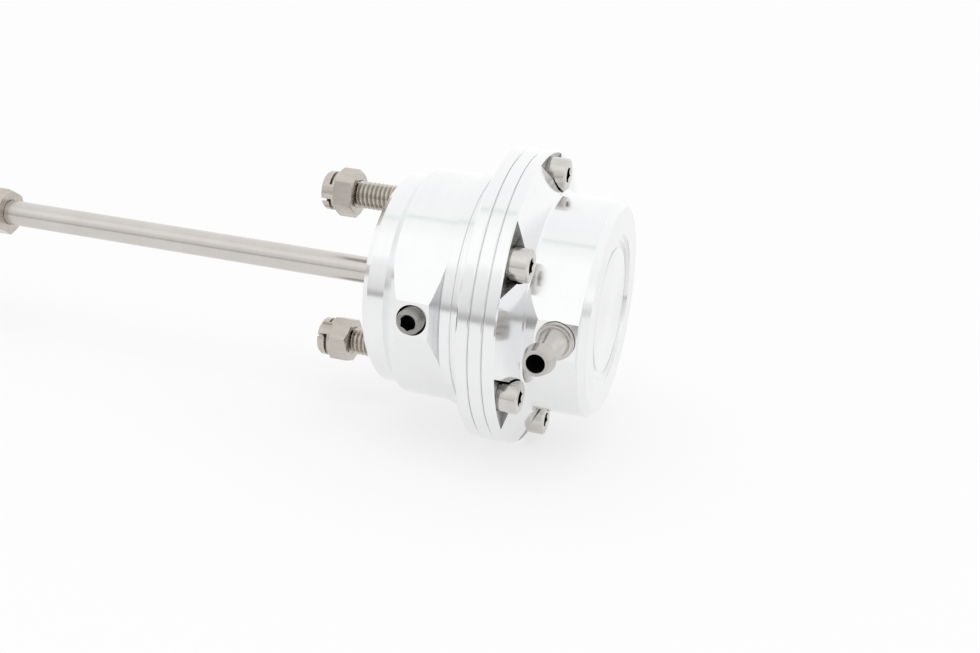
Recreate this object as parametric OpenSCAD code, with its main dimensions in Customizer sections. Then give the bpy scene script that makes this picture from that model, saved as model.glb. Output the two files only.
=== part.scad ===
// Pneumatic turbo actuator: a diaphragm in a turned aluminium can pulls and pushes a rod.
// Millimetres. The origin is the centre of the mounting face, on the rod's axis.
// +X points along the axis to the cap, the rod leaves towards -X, the ports look towards -Y,
// and the two studs lie above and below the axis on Z.

/* [Housing] */
// Wall of the main body around its bore
body_wall = 3.6; // [3:0.1:4.2]
// Step from the main body in to the front ring, which holds the mounting face
front_step = 1.7; // [0.8:0.1:2.4]
// Length of the front ring, from the mounting face to the shoulder
front_len = 5.2; // [3.5:0.1:6]
// Bevel on the front ring's edge
front_bevel = 1.5; // [0.3:0.1:2]
// Thickness of the wall that holds the studs and the rod bush
front_wall = 7.4; // [7:0.1:8.2]
// Length of the main body, from the mounting face to the band
body_len = 18.5; // [18:0.1:19.4]
// Rise of the band and neck behind the flange over the main body
band_rise = 0.8; // [0.6:0.1:1.2]
// Width of the band
band_len = 2.2; // [1:0.1:3]
// Distance from the bore, which the springs and the diaphragm work in, to the screw circle
bore_to_screws = 6.2; // [5.9:0.1:6.4]

/* [Flanges] */
// Radius of the three flange discs
flange_r = 31.9; // [31.5:0.1:34]
// Distance from the mounting face to the housing flange
flange_x = 23.9; // [23.4:0.1:25.4]
// Thickness of the housing flange
flange_t = 2.66; // [2.4:0.02:3.5]
// Thickness of the middle ring
ring_t = 2.91; // [2.6:0.01:3.6]
// Thickness of the cap flange
cap_flange_t = 2.69; // [2.4:0.01:3.4]
// Edge bevel of the discs
flange_bevel = 0.35; // [0.1:0.05:0.6]

/* [Cap] */
// Step from the housing's bore out to the cap's cylinder
cap_step = 2; // [1.6:0.1:2.6]
// Height of the conical web above the cap flange
web_h = 3.1; // [2:0.1:4]
// Length of the cap, from the diaphragm's face to its end face
cap_len = 18.9; // [18.4:0.1:21]
// Bevel on the cap's front edge
cap_bevel = 1.5; // [0.5:0.1:2]
// Wall of the cap's cylinder
cap_side_wall = 3.9; // [3.5:0.1:4.3]
// Thickness of the cap's end wall
cap_wall = 3; // [2.6:0.1:3.4]
// Width of the end face's rim around its shallow recess
face_rim_w = 7.3; // [4.5:0.1:9]
// Depth of the shallow recess in the end face
face_recess_depth = 0.5; // [0.2:0.1:0.8]
// Distance from the screw circle out to the centre of a screw pocket's round cutter
pocket_out = 3; // [2:0.1:3.6]
// Clearance between a screw head and its pocket's wall
pocket_gap = 0.7; // [0.4:0.1:1]

/* [Ports] */
// Rise of the housing boss over the main body
plug_boss_rise = 2.7; // [2:0.1:3.4]
// Distance of the plug's centre from the mounting face
plug_x = 13.2; // [12.4:0.1:13.4]
// Rise of the cap boss over the cap's cylinder
barb_boss_rise = 1.7; // [1.3:0.1:2.5]
// Distance of the barb's centre from the mounting face
barb_x = 42.6; // [42.2:0.1:42.6]
// Width of the flat faces of both bosses
boss_face_w = 7.6; // [7:0.1:8.4]
// Mean thread radius of the plug
plug_thread_r = 2.7; // [2.3:0.05:2.9]
// Length of the plug
plug_len = 6; // [5.2:0.1:6.5]
// Height that the plug stands out of the housing boss
plug_proud = 2.1; // [1.5:0.1:2.6]

/* [Hose barb] */
// Radius of the barb's shoulder
barb_shoulder_r = 3.9; // [3.6:0.05:4.2]
// Length of the barb outside its shoulder
barb_len = 13.6; // [10:0.1:18]
// Radius of the barb's neck
barb_neck_r = 2.2; // [2:0.05:2.4]
// Radius of the barb's mouth ring
barb_mouth_r = 2.75; // [2.6:0.05:3.4]
// Radius of the air passage
barb_bore_r = 1.85; // [1.4:0.05:1.9]
// Mean thread radius of the barb
barb_thread_r = 2.25; // [2.1:0.05:2.6]

/* [Cap screws] */
// Number of cap screws
screw_count = 6; // [6:1:6]
// Distance from the flanges' edge in to the screw circle
screw_edge = 4.2; // [3.9:0.1:4.4]
// Nominal radius of the screws
screw_r = 2; // [1.8:0.05:2.1]
// Mean thread radius of the screws
screw_thread_r = 1.8; // [1.6:0.05:1.85]
// Radius of the screw heads
screw_head_r = 3.5; // [3.2:0.05:3.8]
// Height of the screw heads
screw_head_h = 4; // [3.4:0.1:4.4]
// Width across the flats of the screws' sockets
screw_socket_af = 3; // [2.5:0.1:3.2]
// Clearance around the screws in the cap and the middle ring
screw_clearance = 0.15; // [0.1:0.05:0.3]

/* [Studs and nuts] */
// Distance from the front ring's edge in to the centre of each stud
stud_edge = 6.2; // [5.5:0.1:7]
// Nominal radius of the studs
stud_r = 3; // [2.8:0.1:3.1]
// Mean thread radius of the studs, where thread meets thread
stud_thread_r = 2.7; // [2.5:0.05:2.75]
// Length of a stud outside the mounting face
stud_out = 18; // [16.5:0.1:18.5]
// Depth of a stud in the housing
stud_in = 6; // [5:0.1:6.4]
// Distance from the mounting face to the nuts
nut_x = 10.7; // [8:0.1:10.9]
// Width across the flats of the nuts
nut_af = 9.4; // [9.2:0.1:10.5]
// Length of a nut's six-sided part
nut_hex_h = 4.9; // [4:0.1:6]
// Length of a nut's slotted collar
nut_collar_h = 2.9; // [2.2:0.1:3.4]
// Radius of a nut's slotted collar
nut_collar_r = 4.3; // [4:0.05:4.6]
// Width of the slits in the collar
nut_slit = 0.6; // [0.4:0.05:0.9]
// Width of the two bridges between the slits
nut_bridge = 3.2; // [2.4:0.1:4]
// Angle of the upper nut, from the port direction
upper_nut_turn = 8; // [-30:1:60]
// Angle of the lower nut, from the port direction
lower_nut_turn = 47; // [-30:1:60]

/* [Rod] */
// Radius of the rod
rod_r = 3; // [2.9:0.05:3.1]
// Mean radius of the thread at the rod's outer end
rod_thread_r = 2.7; // [2.5:0.05:2.75]
// Distance from the mounting face to the jam nut
rod_reach = 102.6; // [60:0.2:160]
// Thickness of the jam nut
jam_nut_h = 5; // [3:0.1:6]
// Width across the flats of the jam nut
jam_nut_af = 10; // [9.5:0.1:10.5]
// Length of rod inside the rod end
rod_end_grip = 14; // [10:0.5:16]
// Radius of the rod's neck in the piston
rod_neck_r = 2.5; // [2.3:0.05:2.6]
// Mean thread radius of the neck in the piston nut
rod_neck_thread_r = 2.25; // [2.1:0.05:2.28]
// Radial running clearance of the rod in its bush
bush_clearance = 0.03; // [0.02:0.005:0.08]
// Outer radius of the rod bush and the rod seal
bush_r = 5; // [4.6:0.1:5.4]
// Length of the rod seal
seal_len = 2.4; // [2:0.1:3]

/* [Rod end] */
// Distance from the rod end's foot to the centre of its eye
end_reach = 30; // [27:0.5:34]
// Outer radius of the eye
eye_r = 10; // [9.6:0.1:11]
// Thickness of the eye
eye_t = 6.75; // [6.4:0.05:7.2]
// Radius of the shank
shank_r = 5.2; // [5:0.1:5.6]
// Width across the flats of the shank's foot
shank_af = 11; // [10.8:0.1:12]
// Radius of the ball
ball_r = 6.35; // [6:0.05:6.6]
// Width of the ball
ball_w = 9; // [8:0.1:9.4]
// Radius of the ball's bore
ball_bore_r = 3; // [2.5:0.05:3.2]
// Thickness of the liner at the ball's equator
liner_t = 0.9; // [0.7:0.05:1.1]
// Running clearance of the ball in its liner
ball_clearance = 0.03; // [0.02:0.005:0.08]

/* [Inside] */
// Working stroke of the rod
stroke = 12; // [8:0.5:12]
// Gap left at each end of the stroke
stop_gap = 0.3; // [0.25:0.05:0.4]
// Space between the piston and the bore, which the diaphragm's fold fills
piston_gap = 4.3; // [4:0.1:4.6]
// Wall of the piston's skirt
skirt_t = 1.2; // [1:0.05:1.3]
// Thickness of the piston's crown
crown_t = 3; // [2.4:0.1:3.2]
// Length of the piston's hub under its crown
hub_len = 2.4; // [1.5:0.1:3]
// Radius of the piston's hub
hub_r = 6.6; // [5.5:0.1:6.9]
// Thickness of the diaphragm
diaphragm_t = 0.8; // [0.7:0.05:0.9]
// Height of the diaphragm's bead
bead_h = 1.2; // [0.9:0.05:1.4]
// Thickness of the diaphragm plate
plate_t = 1.6; // [1.2:0.1:1.8]
// Step from the piston's edge in to the edge of the diaphragm plate
plate_step = 1.7; // [1.2:0.1:3]
// Thickness of the washer on the plate
washer_t = 0.8; // [0.6:0.1:1]
// Radius of the washer on the plate
washer_r = 5; // [4.6:0.1:5.6]
// Height of the piston nut
piston_nut_h = 3; // [2.6:0.1:3.2]
// Width across the flats of the piston nut
piston_nut_af = 8; // [7.6:0.1:8.4]
// Thickness of the spring seat
seat_t = 1.2; // [1:0.1:1.5]
// Wire radius of the outer spring
outer_wire_r = 1.1; // [0.9:0.05:1.12]
// Clearance between the outer spring and the piston's skirt
outer_coil_gap = 0.7; // [0.5:0.1:1.1]
// Turns of the outer spring
outer_turns = 5.5; // [4.5:0.25:5.5]
// Wire radius of the inner spring
inner_wire_r = 0.8; // [0.6:0.05:0.82]
// Clearance between the inner spring and the piston's hub
inner_coil_gap = 1.2; // [1:0.1:2]
// Turns of the inner spring
inner_turns = 7.5; // [6:0.25:7.5]
// Radius of the flange seal's round section
flange_seal_r = 0.6; // [0.5:0.05:0.64]

/* [Hidden] */
$fn = 96;
cut = 0.02;
far = 80;

// radii, from the flanges' edge inwards
screw_circle_r = flange_r - screw_edge;
bore_r = screw_circle_r - bore_to_screws;
body_r = bore_r + body_wall;
front_r = body_r - front_step;
band_r = body_r + band_rise;
cap_r = bore_r + cap_step;
cap_bore_r = cap_r - cap_side_wall;
face_recess_r = cap_r - face_rim_w;
pocket_centre_r = screw_circle_r + pocket_out;
pocket_r = pocket_out + screw_head_r + pocket_gap;
plug_face_r = body_r + plug_boss_rise;
barb_face_r = cap_r + barb_boss_rise;
stud_spacing = 2 * (front_r - stud_edge);
piston_r = bore_r - piston_gap;
plate_r = piston_r - plate_step;
outer_coil_r = piston_r - skirt_t - outer_coil_gap - outer_wire_r;
inner_coil_r = hub_r + inner_coil_gap + inner_wire_r;

// stations along the axis
ring_x = flange_x + flange_t;
seam_x = ring_x + ring_t;
cap_rim_x = seam_x + cap_flange_t;
web_x = cap_rim_x + web_h;
cap_end_x = seam_x + cap_len;
ceiling_x = cap_end_x - face_recess_depth - cap_wall;

// the moving stack, from the ceiling down
rod_top_x = ceiling_x - stop_gap;
rod_thread_end = 0.3;
nut_top_x = rod_top_x - rod_thread_end;
piston_nut_x = nut_top_x - piston_nut_h;
washer_x = piston_nut_x - washer_t;
plate_x = washer_x - plate_t;
crown_top_x = plate_x - diaphragm_t;
crown_x = crown_top_x - crown_t;
hub_x = crown_x - hub_len;
skirt_x = front_wall + stop_gap + stroke;
seat_top_x = front_wall + seat_t;

// the diaphragm's fold, between the bore and the skirt
fold_gap = 0.1;
fold_outer_r = bore_r - fold_gap;
fold_inner_r = piston_r + fold_gap;
fold_mid_r = (fold_outer_r + fold_inner_r) / 2;
fold_r = (fold_outer_r - fold_inner_r) / 2;
fold_x = seam_x - fold_r;
bead_land = 1.6;
bead_edge = 0.45;
bead_inner_r = bore_r + bead_land;
bead_outer_r = screw_circle_r - screw_r - screw_clearance - bead_edge;

// the turned ends of the bosses: length over height, and the radius that they are drawn out to
boss_end_lean = 0.58;
boss_slant_r = max(plug_face_r, barb_face_r) + boss_face_w;

// sizes shared by several pieces
fit_gap = 0.1;
nut_bevel = 0.4;
mouth_bevel = 0.4;
plug_bevel = 0.4;
plug_top_r = plug_face_r + plug_proud;
stud_mouth_r = stud_r + 0.3;
bush_flange_r = bush_r + 1.4;
bush_flange_t = 1;
seal_x = 0.6;
bush_x = seal_x + seal_len;
barb_seat_r = barb_face_r - 0.7;
barb_seal_t = 0.5;
barb_shoulder_t = 1.2;
barb_mouth_x = barb_seat_r + barb_seal_t + barb_shoulder_t + barb_len;
seal_groove_r = bore_r + 1.1;
seal_side_gap = 0.3;
seal_groove_w = 2 * (flange_seal_r + seal_side_gap);
liner_r = ball_r + ball_clearance + liner_t;
jam_x = -rod_reach - jam_nut_h;
eye_x = jam_x - end_reach;
rod_tip_x = jam_x - rod_end_grip;
face_groove_w = 1.6;
face_groove_r = face_recess_r - 1.2 - face_groove_w;

// colours
aluminium = [0.86, 0.87, 0.88];
steel = [0.66, 0.64, 0.61];
spring_steel = [0.42, 0.43, 0.45];
rubber = [0.08, 0.08, 0.08];
bronze = [0.72, 0.56, 0.36];

// Shared shapes

// A cylinder along the axis, from x0 to x1
module bar(x0, x1, r) {
  translate([x0, 0, 0]) rotate([0, 90, 0]) cylinder(h = x1 - x0, r = r);
}

// A cone along the axis, from radius r0 at x0 to radius r1 at x1
module taper(x0, x1, r0, r1) {
  translate([x0, 0, 0]) rotate([0, 90, 0]) cylinder(h = x1 - x0, r1 = r0, r2 = r1);
}

// A six-sided bar along the axis, given across its flats
module hex_bar(x0, x1, af) {
  translate([x0, 0, 0]) rotate([0, 90, 0]) cylinder(h = x1 - x0, r = af / sqrt(3), $fn = 6);
}

// A solid of revolution about the axis, from points given as [x, radius]
module turned(points) {
  rotate([0, 90, 0]) rotate_extrude() polygon([for (p = points) [p[1], p[0]]]);
}

// Children drawn around the port side are turned by an angle from the port direction towards the upper stud
module turn_to(angle) {
  rotate([-angle, 0, 0]) children();
}

// Children drawn on the axis are moved out to radius r on the port side, turned by an angle
module out_at(r, angle) {
  turn_to(angle) translate([0, -r, 0]) children();
}

// A bar that points out of a port, from distance y0 to y1 off the axis
module port_bar(x, y0, y1, r) {
  translate([x, -y0, 0]) rotate([90, 0, 0]) cylinder(h = y1 - y0, r = r);
}

// A cone that points out of a port
module port_taper(x, y0, y1, r0, r1) {
  translate([x, -y0, 0]) rotate([90, 0, 0]) cylinder(h = y1 - y0, r1 = r0, r2 = r1);
}

// A flat boss face whose two sides run down to the round body as tangents
module boss_block(x0, x1, r, face_r) {
  corner = [face_r, boss_face_w / 2];
  meet = atan2(corner[1], corner[0]) + acos(r / norm(corner));
  side = [for (s = [1, -1]) [-s * r * sin(meet), -r * cos(meet)]];
  face = [for (s = [1, -1]) [-s * corner[1], -corner[0]]];
  translate([x0, 0, 0]) rotate([0, 90, 0]) linear_extrude(x1 - x0)
    polygon([[0, 0], side[0], face[0], face[1], side[1]]);
}

// Screw positions, as angles from the port direction
function screw_angles() = [for (i = [0 : screw_count - 1]) (i + 0.5) * 360 / screw_count];

// The six holes for the cap screws
module screw_holes(x0, x1, r) {
  for (a = screw_angles()) out_at(screw_circle_r, a) bar(x0, x1, r);
}

// A flange disc with bevelled edges
module disc(x0, x1, bevel) {
  turned([[x0, 0], [x0, flange_r - bevel], [x0 + bevel, flange_r], [x1 - bevel, flange_r],
          [x1, flange_r - bevel], [x1, 0]]);
}

// A helical spring between two stations: closed end turns, open turns between them
module helix_spring(x0, x1, coil_r, wire_r, turns) {
  sides = 8;
  steps = 24;
  rings = round(turns * steps);
  end_turns = 0.9;
  end_pitch = 2 * wire_r + 0.12;
  rise = x1 - x0 - 2 * wire_r;
  open_pitch = (rise - 2 * end_turns * end_pitch) / (turns - 2 * end_turns);
  function lift(t) = x0 + wire_r + min(t, end_turns) * end_pitch
    + max(0, min(t, turns - end_turns) - end_turns) * open_pitch
    + max(0, t - turns + end_turns) * end_pitch;
  function ring(i) = let (t = i / steps, a = 360 * t)
    [for (k = [0 : sides - 1]) let (q = 360 * (k + 0.5) / sides, r = coil_r + wire_r * cos(q))
      [lift(t) + wire_r * sin(q), r * cos(a), r * sin(a)]];
  points = [for (i = [0 : rings]) each ring(i)];
  walls = [for (i = [0 : rings - 1], k = [0 : sides - 1]) let (n = (k + 1) % sides)
    [i * sides + k, i * sides + n, (i + 1) * sides + n, (i + 1) * sides + k]];
  first = [for (k = [sides - 1 : -1 : 0]) k];
  last = [for (k = [0 : sides - 1]) rings * sides + k];
  polyhedron(points, concat([first], walls, [last]));
}

// Housing and cap

module lower_housing() {
  neck_x = body_len + band_len;
  groove_w = 0.6;
  groove_depth = 0.5;
  fillet = 1;
  color(aluminium) difference() {
    union() {
      turned([[0, 0], [0, front_r - front_bevel], [front_bevel, front_r], [front_len, front_r],
              [front_len + front_step, body_r], [body_len, body_r], [body_len, band_r],
              [neck_x, band_r], [neck_x, band_r - groove_depth],
              [neck_x + groove_w, band_r - groove_depth], [neck_x + groove_w, band_r],
              [flange_x - fillet, band_r], [flange_x, band_r + fillet], [flange_x + cut, 0]]);
      disc(flange_x, ring_x, flange_bevel);
      intersection() {
        boss_block(front_len, body_len, body_r, plug_face_r);
        turned([[front_len, 0], [front_len, front_r], [front_len + boss_slant_r - front_r, boss_slant_r],
                [body_len - (boss_slant_r - body_r) * boss_end_lean, boss_slant_r], [body_len, body_r],
                [body_len, 0]]);
      }
    }
    bar(front_wall, ring_x + cut, bore_r);
    bar(-cut, front_wall + cut, bush_r);
    taper(-cut, mouth_bevel, bush_r + mouth_bevel + cut, bush_r);
    for (a = [90, -90]) out_at(stud_spacing / 2, a) {
      bar(-cut, stud_in, stud_thread_r);
      taper(-cut, stud_mouth_r - stud_thread_r, stud_mouth_r + cut, stud_thread_r);
    }
    port_bar(plug_x, bore_r - plug_thread_r, plug_face_r + cut, plug_thread_r);
    port_taper(plug_x, plug_face_r - plug_bevel, plug_face_r + cut, plug_thread_r,
               plug_thread_r + plug_bevel + cut);
    screw_holes(flange_x - cut, ring_x + cut, screw_thread_r);
    turned([[ring_x - 2 * flange_seal_r, seal_groove_r], [ring_x + cut, seal_groove_r],
            [ring_x + cut, seal_groove_r + seal_groove_w],
            [ring_x - 2 * flange_seal_r, seal_groove_r + seal_groove_w]]);
  }
}

module mid_ring() {
  color(aluminium) difference() {
    disc(ring_x, seam_x, flange_bevel);
    bar(ring_x - cut, seam_x + cut, bore_r);
    screw_holes(ring_x - cut, seam_x + cut, screw_r + screw_clearance);
    turned([[seam_x - bead_h, bead_inner_r], [seam_x + cut, bead_inner_r],
            [seam_x + cut, bead_outer_r], [seam_x - bead_h, bead_outer_r]]);
  }
}

module cap() {
  bevel_x = cap_end_x - cap_bevel;
  root = 0.5;
  color(aluminium) difference() {
    union() {
      disc(seam_x, cap_rim_x, flange_bevel);
      difference() {
        turned([[cap_rim_x - cut, 0], [cap_rim_x - cut, flange_r - flange_bevel],
                [cap_rim_x, flange_r - flange_bevel], [web_x, cap_r + root], [web_x, 0]]);
        for (a = screw_angles()) out_at(pocket_centre_r, a) bar(cap_rim_x, far, pocket_r);
      }
      turned([[seam_x, 0], [seam_x, cap_r], [bevel_x, cap_r], [cap_end_x, cap_r - cap_bevel],
              [cap_end_x, 0]]);
      intersection() {
        boss_block(web_x, bevel_x, cap_r, barb_face_r);
        turned([[web_x, 0], [web_x, cap_r],
                [web_x + (boss_slant_r - cap_r) / boss_end_lean, boss_slant_r],
                [far, boss_slant_r], [far, 0]]);
      }
    }
    bar(seam_x - cut, ceiling_x, cap_bore_r);
    bar(seam_x - cut, seam_x + diaphragm_t, bead_outer_r);
    screw_holes(seam_x - cut, cap_rim_x + cut, screw_r + screw_clearance);
    bar(cap_end_x - face_recess_depth, far, face_recess_r);
    turned([[cap_end_x - 2 * face_recess_depth, face_groove_r], [far, face_groove_r],
            [far, face_groove_r + face_groove_w],
            [cap_end_x - 2 * face_recess_depth, face_groove_r + face_groove_w]]);
    port_bar(barb_x, cap_bore_r - barb_thread_r, barb_face_r, barb_thread_r);
    port_bar(barb_x, barb_seat_r, boss_slant_r, barb_shoulder_r + fit_gap);
  }
}

// Fasteners and fittings

// A socket head screw along the axis, its head standing on station x
module socket_screw(x, length) {
  socket_depth = screw_head_h / 2;
  bevel = 0.3;
  difference() {
    union() {
      turned([[x, 0], [x, screw_head_r], [x + screw_head_h - bevel, screw_head_r],
              [x + screw_head_h, screw_head_r - bevel], [x + screw_head_h, 0]]);
      bar(ring_x, x + cut, screw_r);
      bar(x - length, ring_x + cut, screw_thread_r);
    }
    hex_bar(x + screw_head_h - socket_depth, x + screw_head_h + cut, screw_socket_af);
  }
}

module cap_screws() {
  color(steel) for (a = screw_angles())
    out_at(screw_circle_r, a) socket_screw(cap_rim_x, cap_rim_x - flange_x);
}

module mounting_studs() {
  bevel = 0.5;
  color(steel) for (a = [90, -90]) out_at(stud_spacing / 2, a) {
    bar(-nut_x, 0, stud_r);
    bar(-cut, stud_in, stud_thread_r);
    bar(-stud_out + bevel, -nut_x + cut, stud_thread_r);
    taper(-stud_out, -stud_out + bevel, stud_thread_r - bevel, stud_thread_r);
  }
}

// An all-metal lock nut: a six-sided part and a round collar, which two slits cut into arms
// that hang on bridges
module lock_nut() {
  hex_x = -nut_x - nut_hex_h;
  collar_x = hex_x - nut_collar_h;
  slit_x = hex_x - 2 * nut_slit;
  corner_r = nut_af / sqrt(3);
  bevel = 0.35;
  difference() {
    union() {
      intersection() {
        hex_bar(hex_x, -nut_x, nut_af);
        turned([[hex_x, 0], [hex_x, corner_r - bevel], [hex_x + bevel, corner_r],
                [-nut_x - bevel, corner_r], [-nut_x, corner_r - bevel], [-nut_x, 0]]);
      }
      turned([[collar_x, 0], [collar_x, nut_collar_r - bevel], [collar_x + bevel, nut_collar_r],
              [hex_x + cut, nut_collar_r], [hex_x + cut, 0]]);
    }
    bar(collar_x - cut, -nut_x + cut, stud_thread_r);
    taper(-nut_x - bevel, -nut_x + cut, stud_thread_r, stud_thread_r + bevel + cut);
    for (a = [0, 180]) rotate([a, 0, 0]) {
      translate([slit_x, -far / 2, nut_bridge / 2]) cube([nut_slit, far, far]);
      translate([collar_x - cut, -far, -nut_bridge / 2 - nut_slit])
        cube([slit_x + nut_slit - collar_x + cut, far, nut_slit]);
    }
  }
}

module stud_nuts() {
  color(steel) {
    out_at(stud_spacing / 2, 90) turn_to(upper_nut_turn - 90) lock_nut();
    out_at(stud_spacing / 2, -90) turn_to(lower_nut_turn + 90) lock_nut();
  }
}

module port_plug() {
  socket_af = 3;
  socket_depth = 2.5;
  bevel = 0.4;
  color(steel) difference() {
    union() {
      port_bar(plug_x, plug_top_r - plug_len, plug_top_r - bevel, plug_thread_r);
      port_taper(plug_x, plug_top_r - bevel, plug_top_r, plug_thread_r, plug_thread_r - bevel);
    }
    translate([plug_x, -plug_top_r + socket_depth, 0]) rotate([90, 0, 0])
      cylinder(h = socket_depth + cut, r = socket_af / sqrt(3), $fn = 6);
  }
}

module plug_seal() {
  under_r = plug_top_r - plug_len;
  seal_h = 0.6;
  seal_w = 1;
  color(rubber) difference() {
    port_bar(plug_x, under_r - seal_h, under_r, plug_thread_r);
    port_bar(plug_x, under_r - seal_h - cut, under_r + cut, plug_thread_r - seal_w);
  }
}

module hose_barb() {
  seat = barb_seat_r + barb_seal_t;
  neck = seat + barb_shoulder_t;
  bevel = 0.3;
  flare_len = 7.5;
  flare = 0.9;
  mouth_foot = barb_mouth_x - 3.4;
  mouth_rise = 0.2;
  ridge = 0.4;
  lip = 0.15;
  color(steel) difference() {
    union() {
      port_bar(barb_x, cap_bore_r, seat + cut, barb_thread_r);
      port_bar(barb_x, seat, neck - bevel, barb_shoulder_r);
      port_taper(barb_x, neck - bevel, neck, barb_shoulder_r, barb_shoulder_r - bevel);
      port_taper(barb_x, neck - cut, neck + flare_len, barb_neck_r + flare, barb_neck_r);
      port_bar(barb_x, neck, mouth_foot + cut, barb_neck_r);
      port_taper(barb_x, mouth_foot, mouth_foot + mouth_rise, barb_neck_r, barb_mouth_r + ridge);
      port_taper(barb_x, mouth_foot + mouth_rise, barb_mouth_x - lip, barb_mouth_r + ridge,
                 barb_mouth_r);
      port_taper(barb_x, barb_mouth_x - lip, barb_mouth_x, barb_mouth_r, barb_mouth_r - lip);
    }
    port_bar(barb_x, cap_bore_r - cut, barb_mouth_x + cut, barb_bore_r);
  }
}

module barb_seal() {
  color(rubber) difference() {
    port_bar(barb_x, barb_seat_r, barb_seat_r + barb_seal_t, barb_shoulder_r);
    port_bar(barb_x, barb_seat_r - cut, barb_seat_r + barb_seal_t + cut, barb_thread_r);
  }
}

// Rod guide, seals and springs

module rod_bush() {
  color(bronze) difference() {
    union() {
      bar(bush_x, front_wall + cut, bush_r);
      bar(front_wall, front_wall + bush_flange_t, bush_flange_r);
    }
    bar(bush_x - cut, front_wall + bush_flange_t + cut, rod_r + bush_clearance);
  }
}

module rod_seal() {
  color(rubber) difference() {
    bar(seal_x, bush_x, bush_r);
    bar(seal_x - cut, bush_x + cut, rod_r + bush_clearance);
  }
}

module spring_seat() {
  pilot_h = 1.6;
  side_gap = 0.3;
  seat_r = piston_r - skirt_t - side_gap;
  pilot_r = inner_coil_r - inner_wire_r - side_gap;
  color(steel) difference() {
    union() {
      bar(front_wall, seat_top_x, seat_r);
      bar(seat_top_x - cut, seat_top_x + pilot_h, pilot_r);
    }
    bar(front_wall - cut, seat_top_x + pilot_h + cut, bush_flange_r + side_gap);
  }
}

module flange_seal() {
  color(rubber) rotate([0, 90, 0]) rotate_extrude()
    translate([seal_groove_r + seal_side_gap + flange_seal_r, ring_x - flange_seal_r])
      circle(r = flange_seal_r);
}

module diaphragm() {
  inner_r = fold_r - diaphragm_t;
  color(rubber) difference() {
    union() {
      turned([[seam_x, fold_outer_r - diaphragm_t], [seam_x, bead_inner_r],
              [seam_x - bead_h, bead_inner_r], [seam_x - bead_h, bead_outer_r],
              [seam_x + diaphragm_t, bead_outer_r], [seam_x + diaphragm_t, fold_outer_r - diaphragm_t]]);
      turned([[fold_x, fold_outer_r - diaphragm_t], [fold_x, fold_outer_r], [seam_x + cut, fold_outer_r],
              [seam_x + cut, fold_outer_r - diaphragm_t]]);
      rotate([0, 90, 0]) rotate_extrude() translate([fold_mid_r, fold_x]) difference() {
        circle(r = fold_r);
        circle(r = inner_r);
        translate([-far / 2, 0]) square(far);
      }
      turned([[fold_x, fold_inner_r], [fold_x, fold_inner_r + diaphragm_t],
              [crown_top_x + diaphragm_t, fold_inner_r + diaphragm_t], [crown_top_x + diaphragm_t, 0],
              [crown_top_x, 0], [crown_top_x, fold_inner_r]]);
    }
    bar(crown_x, far, rod_neck_r + fit_gap);
  }
}

module outer_spring() {
  color(spring_steel) helix_spring(seat_top_x, crown_x, outer_coil_r, outer_wire_r, outer_turns);
}

module inner_spring() {
  color(spring_steel) helix_spring(seat_top_x, crown_x, inner_coil_r, inner_wire_r, inner_turns);
}

// The moving stack

module piston() {
  color(aluminium) difference() {
    bar(skirt_x, crown_top_x, piston_r);
    difference() {
      bar(skirt_x - cut, crown_x, piston_r - skirt_t);
      bar(hub_x, crown_x + cut, hub_r);
    }
    bar(hub_x - cut, crown_top_x + cut, rod_neck_r);
  }
}

module diaphragm_plate() {
  edge = 0.5;
  color(aluminium) difference() {
    turned([[plate_x, 0], [plate_x, plate_r], [washer_x - edge, plate_r], [washer_x, plate_r - edge],
            [washer_x, 0]]);
    bar(plate_x - cut, washer_x + cut, rod_neck_r);
  }
}

module piston_washer() {
  color(steel) difference() {
    bar(washer_x, piston_nut_x, washer_r);
    bar(washer_x - cut, piston_nut_x + cut, rod_neck_r);
  }
}

// A plain six-sided nut with bevelled corners
module plain_nut(x0, x1, af, thread_r) {
  corner_r = af / sqrt(3);
  difference() {
    intersection() {
      hex_bar(x0, x1, af);
      turned([[x0, 0], [x0, corner_r - nut_bevel], [x0 + nut_bevel, corner_r],
              [x1 - nut_bevel, corner_r], [x1, corner_r - nut_bevel], [x1, 0]]);
    }
    bar(x0 - cut, x1 + cut, thread_r);
  }
}

module piston_nut() {
  color(steel) plain_nut(piston_nut_x, nut_top_x, piston_nut_af, rod_neck_thread_r);
}

module actuator_rod() {
  bevel = 0.4;
  color(steel) {
    bar(-rod_reach, hub_x, rod_r);
    bar(hub_x - cut, piston_nut_x, rod_neck_r);
    bar(piston_nut_x - cut, rod_top_x - bevel, rod_neck_thread_r);
    taper(rod_top_x - bevel, rod_top_x, rod_neck_thread_r, rod_neck_thread_r - bevel);
    bar(rod_tip_x + bevel, -rod_reach + cut, rod_thread_r);
    taper(rod_tip_x, rod_tip_x + bevel, rod_thread_r - bevel, rod_thread_r);
  }
}

module rod_jam_nut() {
  color(steel) plain_nut(jam_x, -rod_reach, jam_nut_af, rod_thread_r);
}

// Rod end

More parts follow.
